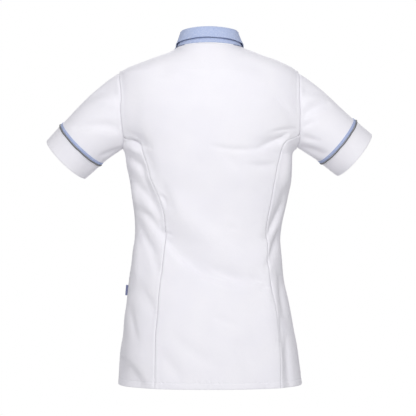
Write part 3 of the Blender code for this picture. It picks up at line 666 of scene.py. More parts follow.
def panelRows(step):
    # from the hem to the armhole in the first half, and beside the armhole in the second
    lower = rowShares(panel["toArmhole"], step, high=False, extra=hemRows())
    upper = rowShares(panel["besideArmhole"], step, low=False)
    return np.concatenate([0.5 * lower, 0.5 + 0.5 * upper[1:]])


def halves(v):
    # the share within the lower and within the upper half of a panel
    return np.minimum(v / 0.5, 1.0), np.clip((v - 0.5) / 0.5, 0.0, 1.0)


def clampEdge(side, angle, height, shift, behind):
    # keeps an edge on its own side of the side and shoulder seams
    margin = shift / bodyRadius(angle, height)
    if behind:
        return np.clip(angle, -rightAngle + margin, rightAngle - margin)
    return side * np.maximum(np.abs(angle), rightAngle + margin)


def armholeRidge(gap):
    # the seam's turnings lie on the body side and lift it along the armhole
    return armholeLook["ridge"] * bell(gap - armholeLook["ridgeAt"], armholeLook["ridgeWidth"])


def sideLift(gap, up, v, seed):
    # a seam below the armhole, and beside it the armhole's own, which lies flat on the body and stands proud
    atArmhole = ease(*armholeLook["starts"], v)
    roll = seamLift(gap, up, seed, pucker=1.0 - 0.5 * atArmhole, turnIn=1.0 - 0.7 * atArmhole)
    return roll + armholeRidge(gap) * atArmhole


backCentre = {"step": 0.0028, "width": 0.30, "seed": 0.4, "cut": (0.440, 0.720), "cutArea": 0.218}


def backCentrePlace():
    halfGap = bodyForm["seamGap"] / 2
    seamShare = bodyForm["shoulderShare"]

    def sideEdge(side):
        def edge(v):
            lower, upper = halves(v)
            lowAngle, lowHeight = backSeamEdge(side, lower, -side * halfGap)
            turn = mix(bodyForm["armholeSeamTurn"][side], 0.0, upper)
            highAngle, highHeight = armholePlace(side, turn)
            highAngle = highAngle - side * halfGap / bodyRadius(highAngle, highHeight)
            return np.where(v <= 0.5, lowAngle, highAngle), np.where(v <= 0.5, lowHeight, highHeight)

        return edge

    def topEdge(u):
        places = [u < seamShare, u > 1.0 - seamShare]
        oneAngle, oneHeight = shoulderSeam(1, np.clip(u / seamShare, 0.0, 1.0))
        otherAngle, otherHeight = shoulderSeam(-1, np.clip((1.0 - u) / seamShare, 0.0, 1.0))
        neckAngle = mix(rightAngle, -rightAngle, np.clip((u - seamShare) / (1.0 - 2.0 * seamShare), 0.0, 1.0))
        angle = np.select(places, [oneAngle, otherAngle], neckAngle)
        height = np.select(places, [oneHeight, otherHeight], neckHeight(neckAngle))
        return clampEdge(1, angle, height, halfGap, True), height

    return patch(sideEdge(1), sideEdge(-1), topEdge, panel["bendFrom"])


def makeBackCentre(material, threadMaterial):
    step, seed = backCentre["step"], backCentre["seed"]
    u, v = np.meshgrid(spacedShares(backCentre["width"], step), panelRows(step))
    points = bodyPoint(*backCentrePlace()(u, v))
    across, up = gridLengths(points)
    fromRight = across[:, -1:] - across
    lift = softWaves(points) + sideLift(across, up, v, seed) + sideLift(fromRight, up, v, seed + 1.7)
    lift += hemLift(up, across, seed) + seamLift(up[-1:] - up, across, seed + 4.0, pucker=0.6)
    points = raised(points, lift)
    piece = addCloth("back_panel_centre", points, material, bodyForm["wall"], "back_centre")
    upper = v[:, 0] > armholeLook["starts"][1]
    rows = [(whole, up, hemLook["depth"], True)]
    rows += [(upper, gap, armholeLook["stitchAt"], False) for gap in (across, fromRight)]
    stitches = addStitching("back_panel_centre_stitches", points, rows, threadMaterial)


backSide = {
    "step": 0.0028,
    "width": 0.085,
    "height": 0.50,
    "bendFrom": 0.80,
    "cut": {1: (0.145, 0.510), -1: (0.115, 0.510)},
    "cutArea": {1: 0.0595, -1: 0.0430},
}


def backSidePlace(side):
    halfGap = bodyForm["seamGap"] / 2
    bottom = bodyForm["armholeBottom"][side]

    def seamEdge(v):
        return backSeamEdge(side, v, side * halfGap)

    def sideEdge(v):
        height = mix(bodyForm["hem"], bottom - halfGap, v)
        return side * (rightAngle - halfGap / bodyRadius(side * rightAngle, height)), height

    def armholeEdge(u):
        turn = mix(0.5, bodyForm["armholeSeamTurn"][side], u if side > 0 else 1.0 - u)
        angle, height = armholePlace(side, turn)
        return angle, height - halfGap

    edges = (sideEdge, seamEdge) if side > 0 else (seamEdge, sideEdge)
    return patch(*edges, armholeEdge, backSide["bendFrom"])


def makeBackSide(side, material, threadMaterial):
    name = "back_panel_" + sideWord[side]
    rows = rowShares(backSide["height"], backSide["step"], extra=hemRows())
    u, v = np.meshgrid(spacedShares(backSide["width"], backSide["step"]), rows)
    points = bodyPoint(*backSidePlace(side)(u, v))
    across, up = gridLengths(points)
    topGap = up[-1:] - up
    lift = softWaves(points) + hemLift(up, across, 1.3 + side)
    lift += seamLift(across, up, 2.1 + side) + seamLift(across[:, -1:] - across, up, 0.9 + side)
    lift += seamLift(topGap, across, 3.0, pucker=0.5, turnIn=0.3) + armholeRidge(topGap)
    points = raised(points, lift)
    piece = addCloth(name, points, material, bodyForm["wall"], "back_side_" + sideWord[side])
    rows = [(whole, up, hemLook["depth"], True), (whole, topGap, armholeLook["stitchAt"], True)]
    stitches = addStitching(name + "_stitches", points, rows, threadMaterial)


front = {
    "step": 0.0034,
    "width": 0.205,
    "lapWidth": 0.030,
    "lapLift": 0.0020,
    "lapRamp": 0.011,
    "lapMargin": 0.002,
    "lapShare": 0.16,
    "lapStep": 0.0020,
    "shoulderShare": 4 / 9,
    "lapStitches": (0.0050, 0.0255),  # the two rows that hold the facing, in from the lapped edge
    "cut": (0.270, 0.700),
    "cutArea": 0.172,
}
lapRun = front["lapWidth"] + front["lapMargin"] + front["lapRamp"]


def lapLift(x, side):
    # the right front rises over the left one along the middle
    if side > 0:
        return 0.0 * x
    foot = -front["lapWidth"] / 2 - front["lapMargin"]
    return front["lapLift"] * ease(foot - front["lapRamp"], foot, x)


def frontPlace(side):
    halfGap = bodyForm["seamGap"] / 2
    bottom = bodyForm["armholeBottom"][side]
    seamShare = front["shoulderShare"]

    def stripPlace(share, v):
        # the lap's strip, along the middle of the front
        x = side * (lapRun * share - front["lapWidth"] / 2)
        top = neckHeight(angleAt(x, -bodyForm["neckDrop"], False))
        lower, upper = halves(v)
        height = np.where(v <= 0.5, mix(bodyForm["hem"], bottom, lower), mix(bottom, top, upper))
        return angleAt(x, height, False), height

    def sideEdge(v):
        lower, upper = halves(v)
        lowHeight = mix(bodyForm["hem"], bottom - halfGap, lower)
        lowAngle = side * (rightAngle + halfGap / bodyRadius(rightAngle + 0.0 * lowHeight, lowHeight))
        highAngle, highHeight = armholePlace(side, mix(0.5, 1.0, upper))
        highAngle = clampEdge(side, highAngle, highHeight, halfGap, False)
        return np.where(v <= 0.5, lowAngle, highAngle), np.where(v <= 0.5, lowHeight, highHeight - halfGap)

    def topEdge(u):
        seamAngle, seamHeight = shoulderSeam(side, np.clip((1.0 - u) / seamShare, 0.0, 1.0))
        start = stripPlace(np.ones(1), np.ones(1))[0]
        neckAngle = mix(start, side * rightAngle, np.clip(u / (1.0 - seamShare), 0.0, 1.0))
        onShoulder = u > 1.0 - seamShare
        angle = np.where(onShoulder, seamAngle, neckAngle)
        height = np.where(onShoulder, seamHeight, neckHeight(neckAngle))
        return clampEdge(side, angle, height, halfGap, False), height

    inner = patch(lambda v: stripPlace(1.0 + 0.0 * v, v), sideEdge, topEdge, panel["bendFrom"])

    def placeAt(m, v):
        share = front["lapShare"]
        nearAngle, nearHeight = stripPlace(np.minimum(m / share, 1.0), v)
        farAngle, farHeight = inner(np.clip((m - share) / (1.0 - share), 0.0, 1.0), v)
        return np.where(m < share, nearAngle, farAngle), np.where(m < share, nearHeight, farHeight)

    return placeAt


def makeFront(side, material, threadMaterial):
    name = "front_panel_" + sideWord[side]
    # the lap's columns have an even step of their own, then the rest of the panel
    strip = rowShares(lapRun, front["lapStep"], high=False)[:-1] * front["lapShare"]
    rest = mix(front["lapShare"], 1.0, rowShares(front["width"], front["step"], low=False))
    u, v = np.meshgrid(np.concatenate([strip, rest]), panelRows(front["step"]))
    angle, height = frontPlace(side)(u, v)
    points = bodyPoint(angle, height, lapLift(plainPoint(angle, height)[..., 0], side))
    if side < 0:
        points = points[:, ::-1]
    across, up = gridLengths(points)
    fromLap, fromSide = (across, across[:, -1:] - across)[::side]
    lift = softWaves(points) + sideLift(fromSide, up, v, 5.0 + side)
    lift += hemLift(up, across, 6.0 + side) + seamLift(up[-1:] - up, across, 7.0 + side, pucker=0.5)
    # the folded lap edge, and the two rows of stitching that hold its facing
    lift -= edgeLook["pressed"] * pressed(fromLap, edgeLook["pressedWidth"])
    for stitchGap in front["lapStitches"]:
        lift -= edgeLook["groove"] * bell(fromLap - stitchGap, edgeLook["grooveWidth"])
    points = raised(points, lift)
    piece = addCloth(name, points, material, bodyForm["wall"], "front_" + sideWord[side])
    upper = v[:, 0] > armholeLook["starts"][1]
    aboveHem = up[:, 0] > hemLook["depth"]
    rows = [(whole, up, hemLook["depth"], True), (upper, fromSide, armholeLook["stitchAt"], False)]
    rows += [(aboveHem, fromLap, stitchGap, False) for stitchGap in front["lapStitches"]]
    stitches = addStitching(name + "_stitches", points, rows, threadMaterial)


sleeve = {
    "tilt": math.radians(9),
    "shoulderSlope": math.radians(29),
    "sides": 120,
    "step": 0.0028,
    "length": 0.115,
    "headPower": 1.5,  # how soon the cloth's slope at the seam leaves the shoulder's
    "backLean": 0.18,
    "unevenness": 0.8,
    "waveShift": 0.3,
    "gathers": (0.30, 0.05),  # round the armhole, from none to full
    # the first rows go under the body's edge: how far up, inward and towards the body
    "tuckReach": 0.0032,
    "tuckIn": 0.0015,
    "tuckUnder": 0.0024,
    "foldLength": 0.12,
    "foldRound": 0.36,
    "foldTaper": 0.15,
    "foldEnds": (0.12, 0.85),  # folds are whole between these
    "cut": (0.415, 0.150),
    "cutArea": {1: 0.0438, -1: 0.0402},
    # the trim line's centre, half its width and the sleeve's drop below level
    "left": {"centre": (0.2696, -0.014, -0.2048), "radius": 0.0590, "drop": math.radians(44.6)},
    "right": {"centre": (-0.2738, -0.014, -0.1983), "radius": 0.0575, "drop": math.radians(38.8)},
    # along (0 armhole, 1 trim) and turn (0 on top, 0.25 behind) of both ends, width, depth
    "folds": {
        "left": [
            (0.03, 0.17, 0.36, 0.07, 0.009, -0.0036),
            (0.03, 0.23, 0.40, 0.12, 0.007, 0.0020),
            (0.06, 0.33, 0.80, 0.17, 0.008, -0.0045),
            (0.03, 0.47, 0.75, 0.40, 0.008, -0.0045),
            (0.10, 0.10, 0.55, 0.06, 0.012, -0.0020),
            (0.05, 0.66, 0.80, 0.80, 0.009, -0.0040),
        ],
        "right": [
            (0.03, 0.17, 0.36, 0.07, 0.009, -0.0045),
            (0.03, 0.23, 0.40, 0.12, 0.007, 0.0024),
            (0.03, 0.28, 0.50, 0.12, 0.0065, -0.0046),
            (0.03, 0.33, 0.35, 0.25, 0.0045, -0.0024),
            (0.03, 0.38, 0.55, 0.33, 0.006, -0.0030),
            (0.03, 0.46, 0.80, 0.38, 0.011, -0.0054),
            (0.05, 0.68, 0.75, 0.82, 0.009, -0.0035),
        ],
    },
}
cuff = {
    "length": 0.040,
    "radius": 0.0560,
    "wall": 0.0016,
    "overrun": 0.005,
    "lift": 0.0002,
    "unevenness": 0.5,
    "pressed": 0.0005,
    "hollows": [(0.0012, 2, 0.1), (0.0008, 3, 0.4)],  # depth, how many round the opening, where they start
    "cut": (0.370, 0.045),
}
trim = {
    "bandWidth": 0.006,
    "bandWall": 0.0008,
    "bandLift": 0.00045,
    "bandRows": [0.0, 0.06, 0.14, 0.25, 0.4, 0.6, 0.75, 0.86, 0.94, 1.0],
    "crown": 0.0004,
    "bandPucker": (0.0002, 31, 3),  # height, and how many of its two waves round the sleeve
    "pipingRadius": 0.0012,
    "pipingClear": 0.0005,
    "pipingShift": 0.0007,
    "pipingKnots": 96,
    "pipingWaves": [(0.00018, 9, 1.0), (0.00012, 17, 0.0)],  # height, how many round, where they start
}


def sleeveAxes(side):
    drop = sleeve[sideWord[side]]["drop"]
    tilt = sleeve["tilt"]
    level = math.cos(tilt)
    along = np.array([side * math.cos(drop) * level, -math.sin(tilt), -math.sin(drop) * level])
    up = np.array([side * math.sin(drop), 0.0, math.cos(drop)])
    return along, up, np.cross(up, along) * side


def ringPoint(side, turn, past, radius):
    along, up, back = sleeveAxes(side)
    swing = 2 * np.pi * turn[..., None]
    past, radius = [np.asarray(value + 0.0 * turn)[..., None] for value in (past, radius)]
    centre = np.array(sleeve[sideWord[side]]["centre"])
    return centre + along * past + radius * (up * np.cos(swing) + back * np.sin(swing))


def sleeveFold(side, along, turn):
    total = np.zeros(np.shape(along))
    size = np.array([sleeve["foldLength"], sleeve["foldRound"]])
    taper = sleeve["foldTaper"]
    fadeIn, fadeOut = sleeve["foldEnds"]
    for startAlong, startTurn, endAlong, endTurn, width, depth in sleeve["folds"][sideWord[side]]:
        start = np.array([startAlong, startTurn]) * size
        end = np.array([endAlong, endTurn]) * size
        gap, _, share = signedGaps(along * size[0], turn * size[1], start, (start + end) / 2, end)
        total += depth * bell(gap, width) * np.sin(np.pi * mix(taper, 1.0 - taper, share))
    return total * ease(0.0, fadeIn, along) * ease(1.0, fadeOut, along)


def sleeveBase(side, along, turn):
    start = bodyPoint(*armholePlace(side, turn)) + np.array([side * bodyForm["armholeGap"], 0.0, 0.0])
    end = ringPoint(side, turn, 0.0, sleeve[sideWord[side]]["radius"])
    straight = end - start
    length = np.linalg.norm(straight, axis=-1, keepdims=True)
    axis, _, back = sleeveAxes(side)
    slope = sleeve["shoulderSlope"]
    shoulder = np.array([side * math.cos(slope), 0.0, -math.sin(slope)])
    topShare = (np.maximum(0.0, np.cos(2 * np.pi * turn)) ** sleeve["headPower"])[..., None]
    leave = unit(straight / length + back * sleeve["backLean"] * np.sin(2 * np.pi * turn)[..., None])
    leave = unit(mix(leave, shoulder, topShare)) * length
    return glide(start, leave, end, axis * length, along[..., None])


def sleevePoint(side, along, turn, lift=0.0):
    base = sleeveBase(side, along, turn)
    low = np.maximum(0.0, along - 0.02)
    run = sleeveBase(side, low + 0.04, turn) - sleeveBase(side, low, turn)
    roundStep = sleeveBase(side, along, turn + 0.01) - sleeveBase(side, along, turn - 0.01)
    away = unit(np.cross(run, roundStep)) * side
    return base + away * (sleeveFold(side, along, turn) + lift)[..., None]


def tubeTurn(side, u):
    # round the sleeve from its underarm seam, the way that turns its faces outward
    return (0.5 - u) % 1.0 if side > 0 else (0.5 + u) % 1.0


def tubeGrid(side, rows):
    u, v = np.meshgrid(np.linspace(0.0, 1.0, sleeve["sides"] + 1), rows)
    return tubeTurn(side, u), v


def makeSleeve(side, material):
    name = "sleeve_" + sideWord[side]
    turn, v = tubeGrid(side, rowShares(sleeve["length"], sleeve["step"]))
    points = sleevePoint(side, v, turn)
    across, up = gridLengths(points)
    # the sleeve tucks under the armhole seam, with the ease of its head in small gathers on top
    onTop = ease(*sleeve["gathers"], np.abs(((turn + 0.5) % 1.0) - 0.5))
    lift = sleeve["unevenness"] * softWaves(points + sleeve["waveShift"])
    lift += seamLift(up, across, 2.6 + side, pucker=1.0 + 1.2 * onTop, turnIn=0.4)
    lift += seamLift(up[-1:] - up, across, 1.1 + side, pucker=0.7, turnIn=0.5)
    lift += seamLift(np.minimum(across, across[:, -1:] - across), up, 4.4 + side, pucker=0.8)
    tuck = pressed(up, sleeve["tuckReach"])
    points = raised(points, lift - sleeve["tuckIn"] * tuck, wraps=True)
    points[..., 0] -= side * sleeve["tuckUnder"] * tuck
    return addCloth(name + "_cloth", points, material, bodyForm["wall"], name, wraps=True)


def makeCuff(side, material):
    word = sideWord[side]
    length = cuff["length"] + cuff["overrun"]
    turn, v = tubeGrid(side, rowShares(length, sleeve["step"]))
    radius = mix(sleeve[word]["radius"], cuff["radius"], v) + cuff["lift"]
    points = ringPoint(side, turn, mix(bodyForm["seamGap"], length, v), radius)
    across, up = gridLengths(points)
    lift = cuff["unevenness"] * softWaves(points + sleeve["waveShift"])
    # slight hollows as the opening is held out unevenly
    for depth, count, shift in cuff["hollows"]:
        lift += depth * v * np.sin(2 * np.pi * (count * turn + shift))
    lift += seamLift(up, across, 3.3 + side, pucker=0.6)
    lift -= cuff["pressed"] * pressed(up[-1:] - up, edgeLook["pressedWidth"])
    underarm = np.minimum(across, across[:, -1:] - across)
    lift += seamLift(underarm, up, 0.4 + side, pucker=0.6, turnIn=0.8)
    points = raised(points, lift, wraps=True)
    name = "cuff_" + word
    piece = addCloth(name + "_cloth", points, material, cuff["wall"], name, wraps=True)


def makeBand(side, material):
    word = sideWord[side]
    turn, v = tubeGrid(side, trim["bandRows"])
    run = sleevePoint(side, np.ones(turn.shape), turn) - sleevePoint(side, np.zeros(turn.shape), turn)
    length = np.linalg.norm(run, axis=-1)
    along = 1.0 - mix(trim["bandWidth"] + trim["pipingRadius"], trim["pipingRadius"], v) / length
    crown = -trim["crown"] * (2.0 * v - 1.0) ** 4
    height, quick, slow = trim["bandPucker"]
    wave = height * np.sin(2 * np.pi * turn * quick) * np.cos(2 * np.pi * turn * slow)
    points = sleevePoint(side, along, turn, trim["bandWall"] + trim["bandLift"] + crown + wave)
    name = "sleeve_band_" + word
    return addCloth(name + "_strip", points, material, trim["bandWall"], name, wraps=True)


def makePiping(side, material):
    name = "sleeve_piping_" + sideWord[side]
    count = trim["pipingKnots"]
    radius = sleeve[sideWord[side]]["radius"] + trim["pipingRadius"] + trim["pipingClear"]
    curve = bpy.data.curves.new(name, "CURVE")
    curve.dimensions = "3D"
    line = curve.splines.new("POLY")
    line.points.add(count - 1)
    turns = tubeTurn(side, np.arange(count) / count)
    uneven = 0.0
    for height, waves, start in trim["pipingWaves"]:
        uneven = uneven + height * np.sin(2 * np.pi * turns * waves + start)
    places = ringPoint(side, turns, trim["pipingShift"] + uneven, radius + uneven)
    for knot, place in zip(line.points, places):
        knot.co = (*place, 1.0)
    line.use_cyclic_u = True
    curve.bevel_depth = trim["pipingRadius"]
    curve.bevel_resolution = 4
    mesh = meshOf(addObject("pipingLine", curve))
    print(name, len(mesh.polygons), "faces")
    return addPiece(name + "_cord", mesh, material, None, name)


collar = {
    "standWall": 0.0016,
    "fallWall": 0.0014,
    # ends and ramps in degrees round from the middle of the back; the stand's right end laps over its left
    "standEnds": (184, -189),
    "standLift": 0.0013,
    "standLapLift": 0.0023,
    "liftRamp": (152, 166),
    "standLap": 0.0022,
    "lapRamp": (168, 174),
    "rollRadius": 0.0030,
    "rollShare": 0.30,
    "rollRows": 10,
    "fallClear": 0.0016,
    "fallEnd": 0.922,
    "pointEnd": 0.840,
    "fallWave": (0.0004, 0.061, 0.8),  # height, length, start
    "fallPressed": 0.0016,
    "standStitch": 0.0019,
    "fallStitch": 0.0055,
    "stitchFrom": 0.34,
    # length and step along the piece, then up it
    "standGrid": (0.42, 0.0030, 0.029, 0.0026),
    "fallGrid": (0.40, 0.0028, 0.030, 0.0016),
    "standCut": (0.470, 0.032),
    "standArea": 0.0141,
    "fallCut": (0.500, 0.062),
    "fallArea": 0.0200,
    # half turns from the back: how far the stand leans in, its height, the fall's depth and its spring
    "rows": [
        (0.00, 0.83, 0.0295, 0.0188, 0.0032),
        (0.25, 0.83, 0.0295, 0.0202, 0.0028),
        (0.37, 0.83, 0.0295, 0.0216, 0.0022),
        (0.50, 0.83, 0.0295, 0.0240, 0.0016),
        (0.60, 0.84, 0.0285, 0.0265, 0.0016),
        (0.72, 0.86, 0.0275, 0.0350, 0.0020),
        (0.92, 0.91, 0.0260, 0.0520, 0.0032),
        (1.10, 0.91, 0.0260, 0.0520, 0.0032),
    ],
}
standLean, standRise, fallDepth, fallSpring = columnCurves(collar["rows"])


def standPlace(angle, share):
    # radius and height on the stand's outer face, share 0 at the neck edge and 1 at the top
    turned = np.abs(angle) / math.pi
    wrapped = np.where(np.abs(angle) <= math.pi, angle, angle - np.copysign(2 * math.pi, angle))
    edge = bodyPoint(wrapped, neckHeight(wrapped))
    base = np.hypot(edge[..., 0], edge[..., 1])
    lap = collar["standLap"] * ease(*np.radians(collar["lapRamp"]), -angle)
    lift = collar["standLift"] + collar["standLapLift"] * ease(*np.radians(collar["liftRamp"]), np.abs(angle))
    return mix(base, base * standLean(turned), share) + lap, edge[..., 2] + lift + standRise(turned) * share


def makeStand(material, threadMaterial):
    length, step, height, rise = collar["standGrid"]
    u, v = np.meshgrid(rowShares(length, step), rowShares(height, rise))
    angle = mix(*np.radians(collar["standEnds"]), u)
    points = aroundPoint(angle, *standPlace(angle, v))
    across, up = gridLengths(points)
    lift = seamLift(up, across, 1.9, pucker=0.5, turnIn=0.6)
    points = raised(points, lift)
    piece = addCloth("collar_stand_cloth", points, material, collar["standWall"], "collar_stand")
    rows = [(whole, up, collar["standStitch"], True)]
    stitches = addStitching("collar_stand_stitches", points, rows, threadMaterial)


def fallPlace(u, v):
    # v below rollShare goes over the roll, from inside the stand, and above it down the outside
    rollShare = collar["rollShare"]
    sideShare = mix(1.0, -1.0, u)
    down = np.clip((v - rollShare) / (1.0 - rollShare), 0.0, 1.0)
    angle = sideShare * math.pi * mix(collar["fallEnd"], collar["pointEnd"], down)
    topRadius, topHeight = standPlace(angle, np.ones(angle.shape))
    swing = mix(math.pi, 0.0, np.clip(v / rollShare, 0.0, 1.0))
    roll = collar["rollRadius"]
    middle = topRadius - collar["standWall"] / 2
    rollHeight = topHeight + bodyForm["seamGap"] + roll * np.sin(swing)
    height = topHeight + bodyForm["seamGap"] - fallDepth(np.abs(sideShare)) * down
    edge = neckHeight(angle)
    standShare = np.clip((height - edge) / standRise(np.abs(angle) / math.pi), 0.0, 1.0)
    rest = np.where(height <= edge, bodyRadius(angle, height), standPlace(angle, standShare)[0])
    clear = roll - collar["standWall"] / 2 + mix(collar["fallClear"], fallSpring(np.abs(sideShare)), down)
    onRoll = v <= rollShare
    radius = np.where(onRoll, middle + roll * np.cos(swing), rest + clear)
    return aroundPoint(angle, radius, np.where(onRoll, rollHeight, height))


def makeFall(material, threadMaterial):
    length, step, height, rise = collar["fallGrid"]
    rollShare = collar["rollShare"]
    below = rollShare + (1.0 - rollShare) * rowShares(height, rise)
    rows = np.unique(np.concatenate([np.linspace(0.0, rollShare, collar["rollRows"]), below]))
    u, v = np.meshgrid(rowShares(length, step), rows)
    points = fallPlace(u, v)
    across, up = gridLengths(points)
    inset = collar["fallStitch"]
    toEdge = up[-1:] - up
    fromEdge = np.minimum(toEdge, np.minimum(across, across[:, -1:] - across))
    # pressed edges, the groove of the stitching, and a slight wave as it lies
    lift = -edgeLook["pressed"] * pressed(fromEdge, collar["fallPressed"])
    lift -= edgeLook["groove"] * bell(fromEdge - inset, edgeLook["grooveWidth"])
    waveHeight, waveLength, waveStart = collar["fallWave"]
    lift += waveHeight * np.sin(2 * np.pi * across / waveLength + waveStart) * ease(rollShare, 1.0, v)
    points = raised(points, lift)
    piece = addCloth("collar_fall_cloth", points, material, collar["fallWall"], "collar_fall")
    inner = (across[-1] > inset) & (across[-1] < across[-1, -1] - inset)
    outside = (v[:, 0] > collar["stitchFrom"]) & (up[:, 0] < up[-1, 0] - inset)
    rows = [((whole, inner), toEdge, inset, True)]
    rows += [(outside, gap, inset, False) for gap in (across, across[:, -1:] - across)]
    stitches = addStitching("collar_fall_stitches", points, rows, threadMaterial)


button = {
    "radius": 0.00575,
    "thickness": 0.0024,
    "seat": 0.0006,
    "topHeight": -0.092,
    "pitch": 0.094,
    "count": 6,
    "turn": 0.11,  # each button is turned this much further than the last
    "segments": 40,
    "sharpAngle": math.radians(42),
    # share of the radius, depth below the top
    "profile": [
        (0.0, 0.00055), (0.30, 0.00055), (0.55, 0.00050), (0.66, 0.00035), (0.74, 0.00010), (0.84, 0.0),
        (0.93, 0.00012), (0.98, 0.00045), (1.0, 0.00090), (0.985, 0.0014), (0.90, 0.0021), (0.80, 0.0024),
        (0.0, 0.0024),
    ],
    "holeRadius": 0.00062,
    "holeSegments": 14,
    "holeGap": 0.00125,  # from the middle to each hole
    "punchDepth": 0.006,
    "threadRadius": 0.00032,
    "threadSides": 8,
    "threadDepth": 0.00045,  # the lower thread, below the top of the disc
    "threadLift": 0.00035,
    # share of a thread's length, share of its radius there
    "threadRings": [(0.0, 0.35), (0.18, 0.9), (0.5, 1.0), (0.82, 0.9), (1.0, 0.35)],
}


def meshFrom(name, form):
    mesh = bpy.data.meshes.new(name)
    form.to_mesh(mesh)
    form.free()
    mesh.shade_smooth()
    return mesh


def bridge(form, rings):
    # faces from each ring to the next; a ring may be a single point
    for one, two in zip(rings, rings[1:]):
        count = max(len(one), len(two))
        for k in range(count):
            n = (k + 1) % count
            corners = [one[k % len(one)], two[k % len(two)], two[n % len(two)], one[n % len(one)]]
            form.faces.new(list(dict.fromkeys(corners)))


def buttonMesh():
    form = bmesh.new()
    rings = []
    for share, depth in button["profile"]:
        radius = button["radius"] * share
        count = button["segments"] if radius else 1
        turns = [2 * math.pi * k / count for k in range(count)]
        height = button["thickness"] / 2 - depth
        rings.append([form.verts.new((radius * math.cos(a), radius * math.sin(a), height)) for a in turns])
    bridge(form, rings)
    disc = addObject("buttonDisc", meshFrom("buttonDisc", form))
    punch = bmesh.new()
    for quarter in range(4):
        turn = Matrix.Rotation((quarter + 0.5) * rightAngle, 3, "Z")
        place = Matrix.Translation(turn @ Vector((button["holeGap"], 0.0, 0.0)))
        bmesh.ops.create_cone(
            punch, cap_ends=True, segments=button["holeSegments"], radius1=button["holeRadius"],
            radius2=button["holeRadius"], depth=button["punchDepth"], matrix=place,
        )
    punches = addObject("buttonPunch", meshFrom("buttonPunch", punch))
    holes = disc.modifiers.new("holes", "BOOLEAN")
    holes.operation = "DIFFERENCE"
    holes.object = punches
    holes.solver = "EXACT"
    mesh = meshOf(disc)
    bpy.data.objects.remove(punches, do_unlink=True)
    mesh.name = "buttonWithHoles"
    mesh.set_sharp_from_angle(angle=button["sharpAngle"])
    return mesh


def addThread(form, start, end):
    # thin at both ends and full in the middle
    run = (end - start).normalized()
    up = run.orthogonal().normalized()
    across = run.cross(up)
    turns = [2 * math.pi * k / button["threadSides"] for k in range(button["threadSides"])]
    rings = []
    for share, size in button["threadRings"]:
        middle = start.lerp(end, share)
        radius = button["threadRadius"] * size
        offsets = [(across * math.cos(turn) + up * math.sin(turn)) * radius for turn in turns]
        rings.append([form.verts.new(middle + offset) for offset in offsets])
    bridge(form, rings[::-1])
    form.faces.new(rings[0][::-1])
    form.faces.new(rings[-1])


def buttonThreads():
    # one from hole to hole, and one over it the other way
    form = bmesh.new()
    gap = button["holeGap"] * math.cos(math.pi / 4)
    height = button["thickness"] / 2 - button["threadDepth"]
    for way, lift in ((1, 0.0), (-1, button["threadLift"])):
        end = Vector((gap, way * gap, height + lift))
        addThread(form, Vector((-end.x, -end.y, end.z)), end)
    return meshFrom("buttonThreads", form)


def makeButtons(material, threadMaterial):
    disc = buttonMesh()
    threads = buttonThreads()
    rise = front["lapLift"] + button["seat"] + button["thickness"] / 2
    angle = np.array([math.pi])
    for number in range(1, button["count"] + 1):
        level = np.array([button["topHeight"] - button["pitch"] * (number - 1)])
        seat = Matrix.Translation(Vector(bodyPoint(angle, level, rise)[0]))
        facing = Vector(outward(angle, level)[0]).to_track_quat("Z", "Y").to_matrix().to_4x4()
        place = seat @ facing @ Matrix.Rotation(button["turn"] * number, 4, "Z")
        addPiece(f"button_{number}_disc", disc, material, None, f"button_{number}", place)
        addPiece(f"button_{number}_thread", threads, threadMaterial, place=place)
    print("buttons:", button["count"])


tab = {
    "length": 0.022,
    "reach": 0.005,
    "wall": 0.0012,
    "height": -0.511,
    "seamReach": 0.0015,
    "foldSteps": 12,
    "bow": 0.08,
    "pinch": 0.985,
    "levels": [-0.5, -0.48, -0.3, -0.1, 0.1, 0.3, 0.48, 0.5],
    "slopeReach": 0.02,
    "sharpAngle": math.radians(50),
}


def makeTab(material):
    # a bare tape folded in two, its loop outside and its ends in the side seam
    height = np.array([tab["height"]])
    reach = tab["slopeReach"]
    lean = (bodyLeft(height - reach) - bodyLeft(height + reach)) / (2 * reach)
    half = tab["wall"] / 2
    swings = [rightAngle - math.pi * k / tab["foldSteps"] for k in range(tab["foldSteps"] + 1)]
    loop = [(0.0, half), (tab["seamReach"], half)]
    loop += [(tab["reach"] - half + half * math.cos(swing), half * math.sin(swing)) for swing in swings]
    loop += [(tab["seamReach"], -half), (0.0, -half)]
    form = bmesh.new()
    rings = []
    for level in tab["levels"]:
        pinch = tab["pinch"] if abs(level) == 0.5 else 1.0
        bow = tab["bow"] * math.sin(level * 5.0)
        z = level * tab["length"]
        rings.append([form.verts.new((x * pinch, y * pinch + bow * x, z)) for x, y in loop])
    bridge(form, rings)
    form.faces.new(rings[0])
    form.faces.new(rings[-1][::-1])
    bmesh.ops.recalc_face_normals(form, faces=form.faces)
    mesh = meshFrom("side_tab_tape", form)
    mesh.set_sharp_from_angle(angle=tab["sharpAngle"])
    place = Matrix.Translation((float(bodyLeft(height)[0]) + 2 * bodyForm["seamGap"], 0.0, tab["height"]))
    mesh.transform(place @ Matrix.Rotation(-math.atan(lean[0]), 4, "Y"))
    addPiece("side_tab_tape", mesh, material, None, "side_tab")
    print("side tab:", len(mesh.polygons), "faces")


def addNode(tree, kind, place, **settings):
    node = tree.nodes.new(kind)
    node.location = place
    for key, value in settings.items():
        setattr(node, key, value)
    return node


def feed(tree, socket, value):
    # a fixed value, or another node's output
    if isinstance(value, bpy.types.NodeSocket):
        tree.links.new(value, socket)
    else:
        socket.default_value = value


